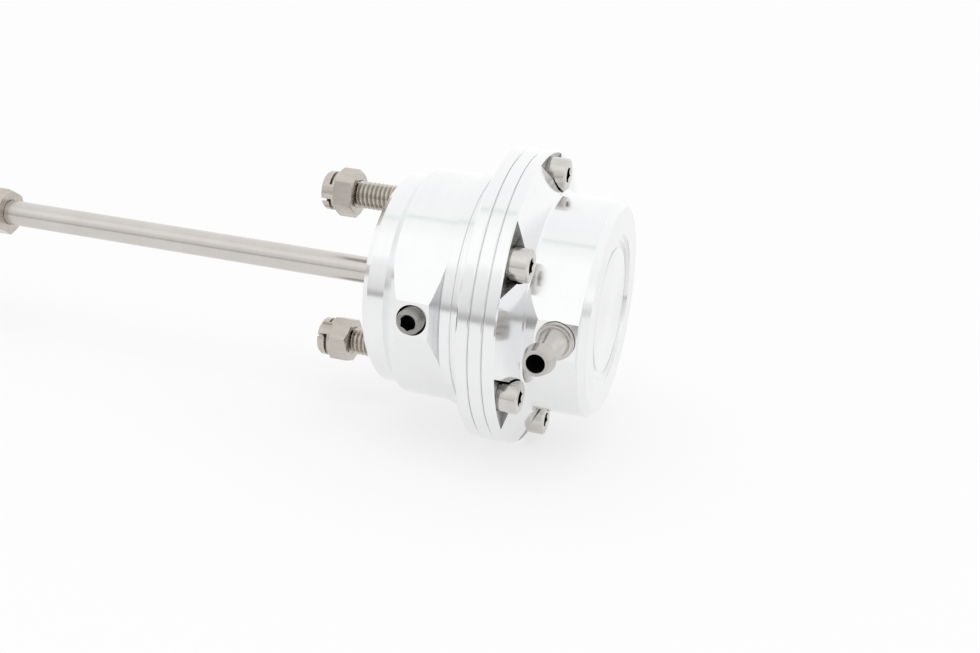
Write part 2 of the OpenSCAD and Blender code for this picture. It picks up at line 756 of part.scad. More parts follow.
module rod_end_body() {
  foot_h = 6;
  foot_rise = 1;
  corner_r = shank_af / sqrt(3);
  foot_x = jam_x - foot_h;
  neck_x = eye_x + sqrt(pow(eye_r, 2) - pow(shank_r, 2));
  neck_sink = 4;
  hole_spare = 1;
  color(steel) difference() {
    union() {
      translate([eye_x, 0, 0]) rotate([90, 0, 0]) cylinder(h = eye_t, r = eye_r, center = true);
      bar(neck_x - neck_sink, jam_x, shank_r);
      intersection() {
        hex_bar(foot_x, jam_x, shank_af);
        turned([[foot_x, 0], [foot_x, shank_af / 2], [foot_x + foot_rise, corner_r],
                [jam_x - nut_bevel, corner_r], [jam_x, corner_r - nut_bevel], [jam_x, 0]]);
      }
    }
    translate([eye_x, 0, 0]) rotate([90, 0, 0]) cylinder(h = far, r = liner_r, center = true);
    bar(rod_tip_x - hole_spare, jam_x + cut, rod_thread_r);
  }
}

module rod_end_liner() {
  color(rubber) translate([eye_x, 0, 0]) rotate([90, 0, 0]) rotate_extrude() difference() {
    translate([0, -eye_t / 2]) square([liner_r, eye_t]);
    circle(r = ball_r + ball_clearance);
  }
}

module rod_end_ball() {
  color(spring_steel) translate([eye_x, 0, 0]) rotate([90, 0, 0]) rotate_extrude() intersection() {
    circle(r = ball_r);
    translate([ball_bore_r, -ball_w / 2]) square([ball_r, ball_w]);
  }
}

lower_housing();
mid_ring();
cap();
cap_screws();
mounting_studs();
stud_nuts();
port_plug();
plug_seal();
hose_barb();
barb_seal();
rod_bush();
rod_seal();
spring_seat();
flange_seal();
diaphragm();
outer_spring();
inner_spring();
piston();
diaphragm_plate();
piston_washer();
piston_nut();
actuator_rod();
rod_jam_nut();
rod_end_body();
rod_end_liner();
rod_end_ball();
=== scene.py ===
"""Looks of the turbo actuator: detailed pieces, finishes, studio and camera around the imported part.

The row frame is the part's own: metres, the origin at the centre of the mounting face, +X along
the axis to the cap, the ports towards -Y and the two studs above and below the axis on Z.
Sizes in the classes are millimetres, as in the part's source.
"""

import logging
import math
from collections.abc import Callable
from dataclasses import dataclass
from enum import Enum, IntEnum
from functools import partial

import bpy
from mathutils import Matrix, Vector

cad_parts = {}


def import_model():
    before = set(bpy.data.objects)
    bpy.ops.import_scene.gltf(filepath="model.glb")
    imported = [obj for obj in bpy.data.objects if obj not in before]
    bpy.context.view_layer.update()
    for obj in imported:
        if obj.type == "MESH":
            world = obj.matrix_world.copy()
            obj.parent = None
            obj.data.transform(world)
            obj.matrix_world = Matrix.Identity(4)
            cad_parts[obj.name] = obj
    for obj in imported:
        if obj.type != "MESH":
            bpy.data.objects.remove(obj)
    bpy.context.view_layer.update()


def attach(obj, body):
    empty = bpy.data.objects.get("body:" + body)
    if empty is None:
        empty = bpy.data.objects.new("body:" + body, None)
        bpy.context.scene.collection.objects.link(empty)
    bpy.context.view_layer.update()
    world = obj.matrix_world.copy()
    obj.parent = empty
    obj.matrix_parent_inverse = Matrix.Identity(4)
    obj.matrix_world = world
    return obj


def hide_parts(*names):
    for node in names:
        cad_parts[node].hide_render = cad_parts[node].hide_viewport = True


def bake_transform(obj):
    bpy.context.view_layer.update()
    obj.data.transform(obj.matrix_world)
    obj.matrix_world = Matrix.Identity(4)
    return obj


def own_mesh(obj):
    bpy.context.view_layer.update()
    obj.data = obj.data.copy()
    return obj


LOG = logging.getLogger("actuator")

MM = 0.001
WELD = 2e-7  # metres: closer points are one
OVER = 1.0  # millimetres that a tool reaches past what it cuts
HOLE_TURN = 0.04  # radians that keep the points of a hole off the seam of what it is cut into
SCREWS = 6

Triple = tuple[float, float, float]
Outline = list[Triple]  # corners as (x, radius, rounding) in millimetres
Piece = bpy.types.Object
Socket = bpy.types.NodeSocket
Material = bpy.types.Material


class Join(Enum):
    """How a tool solid acts on a piece."""

    CUT = "DIFFERENCE"
    FUSE = "UNION"
    KEEP = "INTERSECT"


class Steps(IntEnum):
    """Steps of a full turn, by what is turned."""

    HOLE = 32
    STUD_HOLE = 48
    SMALL = 64
    FITTING = 96
    BALL = 128
    DISC = 160
    CAN = 192


class Body(Enum):
    """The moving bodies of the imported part."""

    HOUSING = "housing"
    ROD = "rod"
    BALL = "ball"


class Slot(Enum):
    """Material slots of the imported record."""

    ALUMINIUM = "machined_aluminium"
    PISTON = "piston_aluminium"
    STAINLESS = "stainless"
    ROD = "rod_stainless"
    GREY_STEEL = "grey_steel"
    SPRING = "spring_steel"
    BALL = "ball_steel"
    BRONZE = "bush_bronze"
    RUBBER = "seal_rubber"
    DIAPHRAGM = "diaphragm_rubber"
    LINER = "liner_polymer"


# ---------------------------------------------------------------- modelling bench


def deselect() -> None:
    """Leaves edit mode and deselects everything."""
    if bpy.context.object is not None and bpy.context.object.mode != "OBJECT":
        bpy.ops.object.mode_set(mode="OBJECT")
    bpy.ops.object.select_all(action="DESELECT")


def pick(piece: Piece) -> None:
    """Makes a piece the only selected and the active one.

    Args:
        piece: The object to work on.
    """
    deselect()
    piece.select_set(True)
    bpy.context.view_layer.objects.active = piece


def deselect_mesh(piece: Piece) -> None:
    """Deselects every vertex, edge and face of a piece in object mode."""
    for part in (piece.data.vertices, piece.data.edges, piece.data.polygons):
        part.foreach_set("select", [False] * len(part))


def named(name: str) -> Piece:
    """Names the primitive that was just added.

    Args:
        name: Name of the object and its mesh.

    Returns:
        The new object.
    """
    piece = bpy.context.active_object
    piece.name = name
    piece.data.name = name
    return piece


def rounded(corners: Outline, steps: int = 3) -> list[tuple[float, float]]:
    """Rounds the corners of a closed outline.

    Args:
        corners: Points as (x, radius, rounding), all in millimetres.
        steps: Edges in each rounded corner.

    Returns:
        The points of the outline as (x, radius).
    """
    points: list[tuple[float, float]] = []
    count = len(corners)
    for i, (x, r, rounding) in enumerate(corners):
        here = Vector((x, r))
        if rounding <= 0:
            points.append((x, r))
            continue
        before = Vector(corners[i - 1][:2]) - here
        after = Vector(corners[(i + 1) % count][:2]) - here
        half = before.angle(after) / 2
        reach = min(rounding / max(math.tan(half), 1e-3), 0.45 * before.length, 0.45 * after.length)
        start, end = here + before.normalized() * reach, here + after.normalized() * reach
        for k in range(steps + 1):
            t = k / steps
            spot = start * (1 - t) ** 2 + here * (2 * t * (1 - t)) + end * t**2
            points.append((spot.x, spot.y))
    return points


def weld(piece: Piece) -> None:
    """Merges doubles and turns all faces outwards.

    Args:
        piece: The mesh object.
    """
    pick(piece)
    bpy.ops.object.mode_set(mode="EDIT")
    bpy.ops.mesh.select_all(action="SELECT")
    bpy.ops.mesh.remove_doubles(threshold=WELD)
    bpy.ops.mesh.dissolve_degenerate(threshold=WELD)
    bpy.ops.mesh.delete_loose(use_verts=True, use_edges=True, use_faces=False)
    bpy.ops.mesh.select_all(action="SELECT")
    bpy.ops.mesh.normals_make_consistent(inside=False)
    bpy.ops.object.mode_set(mode="OBJECT")


def lathe(name: str, corners: Outline, steps: Steps = Steps.CAN) -> Piece:
    """Turns a closed outline round the X axis.

    Args:
        name: Name of the piece.
        corners: Outline as (x, radius, rounding) in millimetres.
        steps: Steps of the full turn.

    Returns:
        The turned solid.
    """
    points = rounded(corners)
    deselect()
    bpy.ops.mesh.primitive_circle_add(vertices=len(points), radius=MM, fill_type="NOTHING")
    piece = named(name)
    for vertex, (x, r) in zip(piece.data.vertices, points):
        vertex.co = (x * MM, 0.0, r * MM)
    bpy.ops.object.mode_set(mode="EDIT")
    bpy.ops.mesh.select_all(action="SELECT")
    bpy.ops.mesh.spin(
        steps=int(steps), angle=math.tau, center=(0, 0, 0), axis=(1, 0, 0), use_auto_merge=True
    )
    weld(piece)
    return piece


def prism(name: str, outline: list[tuple[float, float]], x0: float, x1: float) -> Piece:
    """Extrudes a polygon along X.

    Args:
        name: Name of the piece.
        outline: The polygon's (y, z) points in millimetres.
        x0: Where it starts.
        x1: Where it ends.

    Returns:
        The solid.
    """
    deselect()
    bpy.ops.mesh.primitive_circle_add(vertices=len(outline), radius=MM, fill_type="NGON")
    piece = named(name)
    for vertex, (y, z) in zip(piece.data.vertices, outline):
        vertex.co = (x0 * MM, y * MM, z * MM)
    bpy.ops.object.mode_set(mode="EDIT")
    bpy.ops.mesh.select_all(action="SELECT")
    bpy.ops.mesh.extrude_region_move(TRANSFORM_OT_translate={"value": ((x1 - x0) * MM, 0, 0)})
    weld(piece)
    return piece


def hexagon(across_flats: float) -> list[tuple[float, float]]:
    """The (y, z) points of a hexagon with a corner on Z, by its width across the flats."""
    corner, turns = across_flats / math.sqrt(3), [math.radians(60 * k) for k in range(6)]
    return [(corner * math.sin(turn), corner * math.cos(turn)) for turn in turns]


def apply(piece: Piece, modifier: bpy.types.Modifier) -> None:
    """Applies one modifier of a piece."""
    pick(piece)
    bpy.ops.object.modifier_apply(modifier=modifier.name)


def combine(piece: Piece, tool: Piece, how: Join) -> None:
    """Cuts, fuses or trims a piece with a tool solid, which is used up.

    Args:
        piece: The piece that changes.
        tool: The other solid.
        how: What the tool does.
    """
    modifier = piece.modifiers.new("work", "BOOLEAN")
    modifier.object = tool
    modifier.operation = how.value
    modifier.solver = "EXACT"
    apply(piece, modifier)
    bpy.data.objects.remove(tool)


def break_edges(piece: Piece, width: float, angle: float = 40, segments: int = 2) -> None:
    """Rounds the sharp edges of a piece.

    Args:
        piece: The piece.
        width: Width of the rounding in millimetres.
        angle: Edges sharper than this many degrees are rounded.
        segments: Faces across the rounding.
    """
    modifier = piece.modifiers.new("edges", "BEVEL")
    modifier.width = width * MM
    modifier.segments = segments
    modifier.limit_method = "ANGLE"
    modifier.angle_limit = math.radians(angle)
    modifier.use_clamp_overlap = True
    apply(piece, modifier)


def smooth(piece: Piece, angle: float = 32) -> None:
    """Shades round surfaces smoothly and keeps flat ones flat.

    Args:
        piece: The piece.
        angle: Edges sharper than this many degrees stay sharp.
    """
    pick(piece)
    bpy.ops.object.shade_smooth_by_angle(angle=math.radians(angle))
    modifier = piece.modifiers.new("normals", "WEIGHTED_NORMAL")
    modifier.keep_sharp = True
    modifier.weight = 60
    apply(piece, modifier)


def move(piece: Piece, place: Matrix) -> None:
    """Moves a piece and applies its place to its mesh.

    Args:
        piece: The piece, modelled about the X axis.
        place: Where it goes, in metres.
    """
    pick(piece)
    piece.matrix_world = place
    bpy.ops.object.transform_apply(location=True, rotation=True, scale=True)


def copied(piece: Piece, name: str) -> Piece:
    """Copies a piece with its own mesh.

    Args:
        piece: The piece.
        name: Name of the copy.

    Returns:
        The copy.
    """
    twin = piece.copy()
    twin.data = piece.data.copy()
    twin.name = name
    twin.data.name = name
    bpy.context.scene.collection.objects.link(twin)
    return twin


def turned(
    name: str, corners: Outline, steps: Steps, place: Matrix | None = None, angle: float = 32
) -> Piece:
    """Turns a round piece, shades it and puts it in its place.

    Args:
        name: Name of the piece.
        corners: Its outline.
        steps: Steps of the full turn.
        place: Where it goes from the X axis, if it leaves it.
        angle: Edges sharper than this many degrees stay sharp.

    Returns:
        The finished piece.
    """
    piece = lathe(name, corners, steps)
    smooth(piece, angle)
    if place is not None:
        move(piece, place)
    return piece


def bar(name: str, x0: float, x1: float, radius: float, steps: Steps) -> Piece:
    """A plain round bar on the axis, the start of a piece or of a hole."""
    return lathe(name, [(x0, 0, 0), (x0, radius, 0), (x1, radius, 0), (x1, 0, 0)], steps)


def round_the_screws(
    model: Piece, circle: float, turn: Callable[[int, float], float]
) -> list[Piece]:
    """Copies a model to the places of the cap screws.

    Args:
        model: What is copied, modelled about the X axis, and then removed.
        circle: Radius of the screws' circle in millimetres.
        turn: Gives a copy's own turn in radians from its number and its angle in degrees.

    Returns:
        The copies, in order from the port direction.
    """
    pieces = []
    for number in range(1, SCREWS + 1):
        angle = screw_angle(number)
        piece = copied(model, f"{model.name}_{number}")
        move(piece, on_ring(circle, angle) @ Matrix.Rotation(turn(number, angle), 4, "X"))
        pieces.append(piece)
    bpy.data.objects.remove(model)
    return pieces


def screw_angle(number: int) -> float:
    """Angle of a cap screw, in degrees from the port direction, by its number from 1."""
    return 360 / SCREWS * (number - 0.5)


def screw_holes(x0: float, x1: float, radius: float, circle: float) -> list[Piece]:
    """Tool bars from x0 to x1 at the places of the cap screws."""
    model = bar("screw_hole", x0, x1, radius, Steps.HOLE)
    return round_the_screws(model, circle, lambda number, angle: HOLE_TURN)


def cut_socket(piece: Piece, across_flats: float, top: float, depth: float, flare: float) -> None:
    """Cuts a hexagon socket with a small lead-in into the end of a screw.

    Args:
        piece: The screw, on the axis.
        across_flats: Width of the socket in millimetres.
        top: Station of the screw's end.
        depth: Depth of the socket.
        flare: How much wider than the socket the lead-in grows.
    """
    lead = 0.25
    combine(piece, prism("socket", hexagon(across_flats), top - depth, top + OVER), Join.CUT)
    combine(piece, lathe("lead_in", [
        (top - lead, 0, 0),
        (top - lead, across_flats / 2, 0),
        (top + lead, across_flats / 2 + flare, 0),
        (top + lead, 0, 0),
    ], Steps.SMALL), Join.CUT)


def in_socket(off: float, depth: float, across_flats: float, socket_depth: float) -> bool:
    """Whether a face lies in a screw's socket.

    Args:
        off: Distance of its centre from the screw's axis in millimetres.
        depth: Depth of its centre below the screw's end.
        across_flats: Width of the socket.
        socket_depth: Depth of the socket.

    Returns:
        True for the socket's walls and floor, below the lead-in.
    """
    margin, lead = 0.05, 0.2
    return off < across_flats / math.sqrt(3) + margin and lead < depth < socket_depth + 2 * margin


def from_node(node: str, name: str) -> Piece:
    """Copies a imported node's mesh into a new, merged piece.

    Args:
        node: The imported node.
        name: Name of the new piece.

    Returns:
        The new object, with no material.
    """
    mesh = bpy.data.objects[node].data.copy()
    mesh.materials.clear()
    mesh.name = name
    piece = bpy.data.objects.new(name, mesh)
    bpy.context.scene.collection.objects.link(piece)
    pick(piece)
    bpy.ops.object.mode_set(mode="EDIT")
    bpy.ops.mesh.select_all(action="SELECT")
    bpy.ops.mesh.customdata_custom_splitnormals_clear()
    bpy.ops.mesh.remove_doubles(threshold=5 * WELD)
    bpy.ops.mesh.tris_convert_to_quads()
    bpy.ops.object.mode_set(mode="OBJECT")
    return piece


def on_ring(radius: float, angle: float) -> Matrix:
    """The move off the axis to a radius and an angle from the port towards the upper stud."""
    turn = math.radians(angle)
    return Matrix.Translation((0, -radius * math.cos(turn) * MM, radius * math.sin(turn) * MM))


def in_port(x: float) -> Matrix:
    """The turn from the X axis to the axis of a port at a station in millimetres."""
    return Matrix(((0, 1, 0, x * MM), (-1, 0, 0, 0), (0, 0, 1, 0), (0, 0, 0, 1)))


def boss(
    name: str, x0: float, x1: float, body_r: float, face_r: float, face_w: float, trim: Outline
) -> Piece:
    """A boss with a flat face, tangent sides and turned, slanting ends.

    Args:
        name: Name of the piece.
        x0: Where the block starts, in millimetres.
        x1: Where the block ends.
        body_r: Radius of the round body that its sides touch.
        face_r: Distance of its face from the axis.
        face_w: Width of the face.
        trim: Outline of the turned shape that trims its ends and its inner side.

    Returns:
        The solid.
    """
    meet = math.atan2(face_w / 2, face_r) + math.acos(body_r / math.hypot(face_r, face_w / 2))
    foot_y, foot_z = -body_r * math.cos(meet), body_r * math.sin(meet)
    half = face_w / 2
    sides = [(0, 0), (foot_y, foot_z), (-face_r, half), (-face_r, -half), (foot_y, -foot_z)]
    block = prism(name, sides, x0, x1)
    combine(block, lathe("trim", trim), Join.KEEP)
    break_edges(block, width=0.18, angle=20)
    return block


# ---------------------------------------------------------------- finishes


class Graph:
    """The node graph of a material or of the world, built one node at a time."""

    def __init__(self, owner: Material | bpy.types.World, output: str = "OutputMaterial") -> None:
        """Starts an empty graph.

        Args:
            owner: The new material or world.
            output: The type of its output node, without its ShaderNode prefix.
        """
        owner.use_nodes = True
        self.owner = owner
        self.tree = owner.node_tree
        self.tree.nodes.clear()
        self.output = self.add(output)

    def surface(self, shader: bpy.types.Node) -> None:
        """Links a shader to the output."""
        self.tree.links.new(shader.outputs[0], self.output.inputs["Surface"])

    def add(self, kind: str, sockets: dict | None = None, **settings: object) -> bpy.types.Node:
        """Adds a node.

        Args:
            kind: The node's type, without its ShaderNode prefix.
            sockets: Input values or sockets to link, by name or number.
            **settings: Properties of the node.

        Returns:
            The node.
        """
        node = self.tree.nodes.new("ShaderNode" + kind)
        for key, value in settings.items():
            setattr(node, key, value)
        for key, value in (sockets or {}).items():
            if isinstance(value, Socket):
                self.tree.links.new(value, node.inputs[key])
            else:
                node.inputs[key].default_value = value
        return node

    def place(self) -> Socket:
        """The point on the piece, in metres."""
        return self.add("TexCoord").outputs["Object"]

    def math(self, operation: str, a: object, b: object = 0.0) -> Socket:
        """A number from two numbers or sockets, by Blender's name of the sum."""
        return self.add("Math", {0: a, 1: b}, operation=operation).outputs[0]

    def vector(self, operation: str, a: object, b: object = (0, 0, 0)) -> Socket:
        """A vector or a number from two vectors or sockets, by Blender's name of the sum."""
        node = self.add("VectorMath", {0: a, 1: b}, operation=operation)
        return node.outputs["Value" if operation in ("LENGTH", "DOT_PRODUCT") else "Vector"]

    def noise(self, at: Socket, scale: float, detail: float = 3.0, rough: float = 0.55) -> Socket:
        """Noise between 0 and 1, read at a place with a scale, octaves and their roughness."""
        sockets = {"Vector": at, "Scale": scale, "Detail": detail, "Roughness": rough}
        return self.add("TexNoise", sockets).outputs[0]

    def spread(
        self, value: object, low: float, high: float,
        to_low: float, to_high: float, kind: str = "LINEAR",
    ) -> Socket:
        """Maps a value from the range low to high to another range.

        Args:
            value: The value or socket.
            low: Start of its range.
            high: End of its range.
            to_low: What the start becomes.
            to_high: What the end becomes.
            kind: Blender's name of the way between them.

        Returns:
            The result's socket.
        """
        ends = {"From Min": low, "From Max": high, "To Min": to_low, "To Max": to_high}
        return self.add("MapRange", {"Value": value, **ends}, interpolation_type=kind).outputs[0]

    def blend(self, share: object, a: object, b: object) -> Socket:
        """Mixes two colours or sockets by the share of the second."""
        return self.add("Mix", {0: share, 6: a, 7: b}, data_type="RGBA").outputs[2]

    def axis_frame(self, centre: Triple, axis: Triple) -> tuple:
        """Distances along and off a turning axis.

        Args:
            centre: A point on the axis, in metres.
            axis: The axis.

        Returns:
            Sockets of the distance along it, the distance off it and the direction round it.
        """
        local = self.vector("SUBTRACT", self.place(), centre)
        along = self.vector("DOT_PRODUCT", local, axis)
        around = self.vector("CROSS_PRODUCT", axis, local)
        off = self.vector("LENGTH", around)
        return along, off, self.vector("NORMALIZE", around)

    def stretched(self, along: Socket, off: Socket, scale: float, layer: float) -> Socket:
        """A point for noise in rings, from the distances along and off an axis.

        Args:
            along: Distance along the axis.
            off: Distance off the axis.
            scale: Rings in a metre.
            layer: Where the noise is cut.

        Returns:
            The point's socket.
        """
        x, y = (self.math("MULTIPLY", distance, scale) for distance in (along, off))
        return self.add("CombineXYZ", {0: x, 1: y, 2: layer}).outputs[0]

    def principled(self, **sockets: object) -> bpy.types.Node:
        """Adds the surface shader and links it to the output.

        Args:
            **sockets: Its inputs, with spaces in their names as underscores.

        Returns:
            The shader node.
        """
        named_sockets = {key.replace("_", " "): value for key, value in sockets.items()}
        shader = self.add("BsdfPrincipled", named_sockets)
        self.surface(shader)
        return shader


def rgba(colour: Triple) -> tuple[float, float, float, float]:
    """A colour with full alpha."""
    return (*colour, 1.0)


@dataclass(frozen=True)
class TurnedMetal:
    """Metal with the fine round lines that a lathe leaves."""

    name: str
    colour: Triple
    shade: Triple
    roughness: float = 0.15
    spread: float = 0.03
    anisotropy: float = 0.8
    line_pitch: float = 0.16
    line_depth: float = 0.35
    lines_in_band: float = 9.0
    centre: Triple = (0.0, 0.0, 0.0)
    axis: Triple = (1.0, 0.0, 0.0)

    def make(self) -> Material:
        """Builds the material.

        Returns:
            The new material.
        """
        g = Graph(bpy.data.materials.new(self.name))
        along, off, around = g.axis_frame(self.centre, self.axis)
        fine = 1 / (self.line_pitch * MM)
        slow = g.vector("MULTIPLY", g.place(), (40, 40, 40))
        track = g.stretched(along, off, fine, 0.0)
        lines = g.noise(g.vector("ADD", track, slow), 1.0, 2.0, 0.6)
        bands = g.stretched(along, off, fine / self.lines_in_band, 3.0)
        wide = g.noise(g.vector("ADD", bands, slow), 1.0, 3.0, 0.6)
        cloud = g.noise(g.place(), 90.0, 4.0, 0.6)
        tone = g.math("ADD", g.math("MULTIPLY", lines, 0.45), g.math("MULTIPLY", cloud, 0.55))
        colour = g.blend(g.spread(tone, 0.35, 0.65, 0.0, 1.0), rgba(self.colour), rgba(self.shade))
        rough = g.math("ADD", g.math("MULTIPLY", wide, 0.6), g.math("MULTIPLY", cloud, 0.4))
        low, high = self.roughness - self.spread, self.roughness + self.spread
        rough = g.spread(rough, 0.3, 0.7, low, high)
        bump = g.add("Bump", {"Strength": self.line_depth, "Distance": 0.02 * MM, "Height": lines})
        tangent = g.vector("CROSS_PRODUCT", g.add("NewGeometry").outputs["Normal"], around)
        g.principled(
            Base_Color=colour, Metallic=1.0, Roughness=rough, Anisotropic=self.anisotropy,
            Tangent=tangent, Normal=bump.outputs[0],
        )
        return g.owner


@dataclass(frozen=True)
class SatinSteel:
    """Stainless hardware: satin faces with small scuffs and a faint cloudy tone."""

    name: str
    colour: Triple
    shade: Triple
    roughness: float = 0.3
    grain: float = 900.0
    stretch: Triple = (0.25, 1.0, 1.0)
    depth: float = 0.25

    def make(self) -> Material:
        """Builds the material.

        Returns:
            The new material.
        """
        g = Graph(bpy.data.materials.new(self.name))
        drawn = g.vector("MULTIPLY", g.place(), self.stretch)
        grain = g.noise(drawn, self.grain, 3.0, 0.6)
        cloud = g.noise(g.place(), 220.0, 4.0, 0.6)
        cells = g.add(
            "TexVoronoi", {"Vector": g.place(), "Scale": 700.0}, feature="DISTANCE_TO_EDGE"
        )
        scuff = g.spread(cells.outputs[0], 0.0, 0.05, 1.0, 0.0)
        worn = g.math("MULTIPLY", scuff, g.spread(cloud, 0.5, 0.62, 0.0, 1.0))
        tone = g.math("ADD", g.math("MULTIPLY", grain, 0.5), g.math("MULTIPLY", cloud, 0.5))
        colour = g.blend(g.spread(tone, 0.35, 0.65, 0.0, 1.0), rgba(self.colour), rgba(self.shade))
        even = g.spread(tone, 0.3, 0.7, self.roughness - 0.06, self.roughness + 0.06)
        rough = g.math("ADD", even, g.math("MULTIPLY", worn, 0.12))
        bump = g.add("Bump", {"Strength": self.depth, "Distance": 0.01 * MM, "Height": grain})
        g.principled(Base_Color=colour, Metallic=1.0, Roughness=rough, Normal=bump.outputs[0])
        return g.owner


@dataclass(frozen=True)
class Rubber:
    """Moulded rubber, with a faint bloom and, for the diaphragm, a fabric's weave."""

    name: str
    colour: Triple = (0.018, 0.018, 0.019)
    bloom: Triple = (0.05, 0.05, 0.052)
    roughness: float = 0.55
    weave: float = 0.0

    def make(self) -> Material:
        """Builds the material.

        Returns:
            The new material.
        """
        g = Graph(bpy.data.materials.new(self.name))
        dust = g.noise(g.place(), 160.0, 5.0, 0.65)
        pores = g.noise(g.place(), 2600.0, 2.0, 0.5)
        colour = g.blend(g.spread(dust, 0.45, 0.75, 0.0, 1.0), rgba(self.colour), rgba(self.bloom))
        rough = g.spread(dust, 0.3, 0.7, self.roughness - 0.08, self.roughness + 0.1)
        height = pores
        if self.weave > 0:
            along, off, around = g.axis_frame((0, 0, 0), (1, 0, 0))
            split = g.add("SeparateXYZ", {0: g.place()})
            turn = g.math("ARCTAN2", split.outputs[2], split.outputs[1])
            across = g.math("SINE", g.math("MULTIPLY", turn, 300.0))
            reach = g.math("ADD", along, off)
            down = g.math("SINE", g.math("MULTIPLY", reach, math.tau / (self.weave * MM)))
            height = g.math("ADD", pores, g.math("MULTIPLY", g.math("ADD", across, down), 0.5))
        bump = g.add("Bump", {"Strength": 0.35, "Distance": 0.03 * MM, "Height": height})
        g.principled(
            Base_Color=colour, Metallic=0.0, Roughness=rough,
            Normal=bump.outputs[0], Specular_IOR_Level=0.35,
        )
        return g.owner


@dataclass(frozen=True)
class Polymer:
    """The woven polymer liner of the rod end."""

    name: str
    colour: Triple = (0.16, 0.09, 0.05)
    thread: Triple = (0.3, 0.2, 0.12)
    weave: float = 0.5

    def make(self) -> Material:
        """Builds the material.

        Returns:
            The new material.
        """
        g = Graph(bpy.data.materials.new(self.name))
        split = g.add("SeparateXYZ", {0: g.place()})
        turns = math.tau / (self.weave * MM)
        across = g.math("ADD", split.outputs[0], split.outputs[2])
        warp = g.math("SINE", g.math("MULTIPLY", split.outputs[1], turns))
        weft = g.math("SINE", g.math("MULTIPLY", across, turns))
        woven = g.math("MULTIPLY", g.math("ADD", warp, weft), 0.25)
        share = g.math("ADD", woven, 0.5)
        fleck = g.noise(g.place(), 700.0, 3.0)
        colour = g.blend(g.math("MULTIPLY", share, fleck), rgba(self.colour), rgba(self.thread))
        bump = g.add("Bump", {"Strength": 0.4, "Distance": 0.05 * MM, "Height": share})
        rough = g.spread(fleck, 0.3, 0.7, 0.5, 0.68)
        g.principled(Base_Color=colour, Metallic=0.0, Roughness=rough, Normal=bump.outputs[0])
        return g.owner


class Finishes:
    """All the finishes of the object, made once."""

    def __init__(self) -> None:
        """Makes the materials."""
        self.aluminium = TurnedMetal(
            "turned_aluminium", (0.885, 0.888, 0.893), (0.852, 0.855, 0.862)
        ).make()
        self.piston = TurnedMetal(
            "piston_aluminium", (0.8, 0.8, 0.79), (0.72, 0.72, 0.71), roughness=0.3
        ).make()
        self.rod = TurnedMetal(
            "ground_rod", (0.66, 0.63, 0.595), (0.60, 0.57, 0.535),
            roughness=0.26, line_pitch=0.3, line_depth=0.2,
        ).make()
        self.barb = TurnedMetal(
            "barb_stainless", (0.64, 0.62, 0.595), (0.46, 0.44, 0.42),
            roughness=0.2, anisotropy=0.5, line_pitch=0.1, line_depth=0.3,
            centre=(Cap.barb_x * MM, 0.0, 0.0), axis=(0.0, -1.0, 0.0),
        ).make()
        self.hardware = SatinSteel(
            "satin_stainless", (0.60, 0.56, 0.51), (0.50, 0.465, 0.42), roughness=0.22, depth=0.15
        ).make()
        self.screws = SatinSteel(
            "screw_stainless", (0.70, 0.68, 0.65), (0.60, 0.58, 0.55), roughness=0.2
        ).make()
        self.plug = SatinSteel(
            "plug_steel", (0.42, 0.405, 0.385), (0.24, 0.235, 0.225), roughness=0.2
        ).make()
        # painted shade: darker grey laid onto the screw pockets' floors and walls, where the recess
        # is shaded
        self.pocket_shade = SatinSteel(
            "milled_pocket", (0.46, 0.46, 0.465), (0.30, 0.30, 0.305), roughness=0.22
        ).make()
        # painted shade: near-black laid into the screw sockets and the plug's hole, where there is
        # only shade
        self.hole_shade = SatinSteel(
            "black_oxide", (0.02, 0.021, 0.023), (0.012, 0.012, 0.013), roughness=0.45
        ).make()
        self.spring = SatinSteel(
            "spring_wire", (0.30, 0.305, 0.315), (0.2, 0.2, 0.21), roughness=0.34
        ).make()
        self.ball = SatinSteel(
            "polished_ball", (0.62, 0.62, 0.63), (0.56, 0.56, 0.57), roughness=0.14, depth=0.1
        ).make()
        self.bronze = SatinSteel(
            "sintered_bronze", (0.55, 0.38, 0.19), (0.42, 0.28, 0.13),
            roughness=0.42, grain=2600.0, stretch=(1, 1, 1),
        ).make()
        self.rubber = Rubber("seal_rubber").make()
        self.diaphragm = Rubber("fabric_rubber", weave=0.7, roughness=0.62).make()
        self.liner = Polymer("liner_weave").make()


def dress(
    piece: Piece, material: Material, slot: Slot, body: Body | None, *nodes: str
) -> Piece:
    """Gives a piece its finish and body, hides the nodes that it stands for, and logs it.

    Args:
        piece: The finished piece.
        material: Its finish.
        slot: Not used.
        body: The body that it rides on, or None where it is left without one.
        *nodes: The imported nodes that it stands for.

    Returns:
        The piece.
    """
    piece.data.materials.clear()
    piece.data.materials.append(material)
    if body is not None:
        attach(piece, body.value)
    if nodes:
        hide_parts(*nodes)
    LOG.info("%s: %d faces", piece.name, len(piece.data.polygons))
    return piece


def paint(
    piece: Piece, material: Material, chosen: Callable[[Vector, Vector], bool]
) -> None:
    """Gives some faces of a dressed piece a second material; here it is always a painted shade.

    Args:
        piece: The piece.
        material: The second finish.
        chosen: Says by a face's centre, in millimetres, and its normal whether it takes the finish.
    """
    piece.data.materials.append(material)
    second = len(piece.data.materials) - 1
    for face in piece.data.polygons:
        if chosen(face.center / MM, face.normal):
            face.material_index = second


# ---------------------------------------------------------------- sub-assemblies


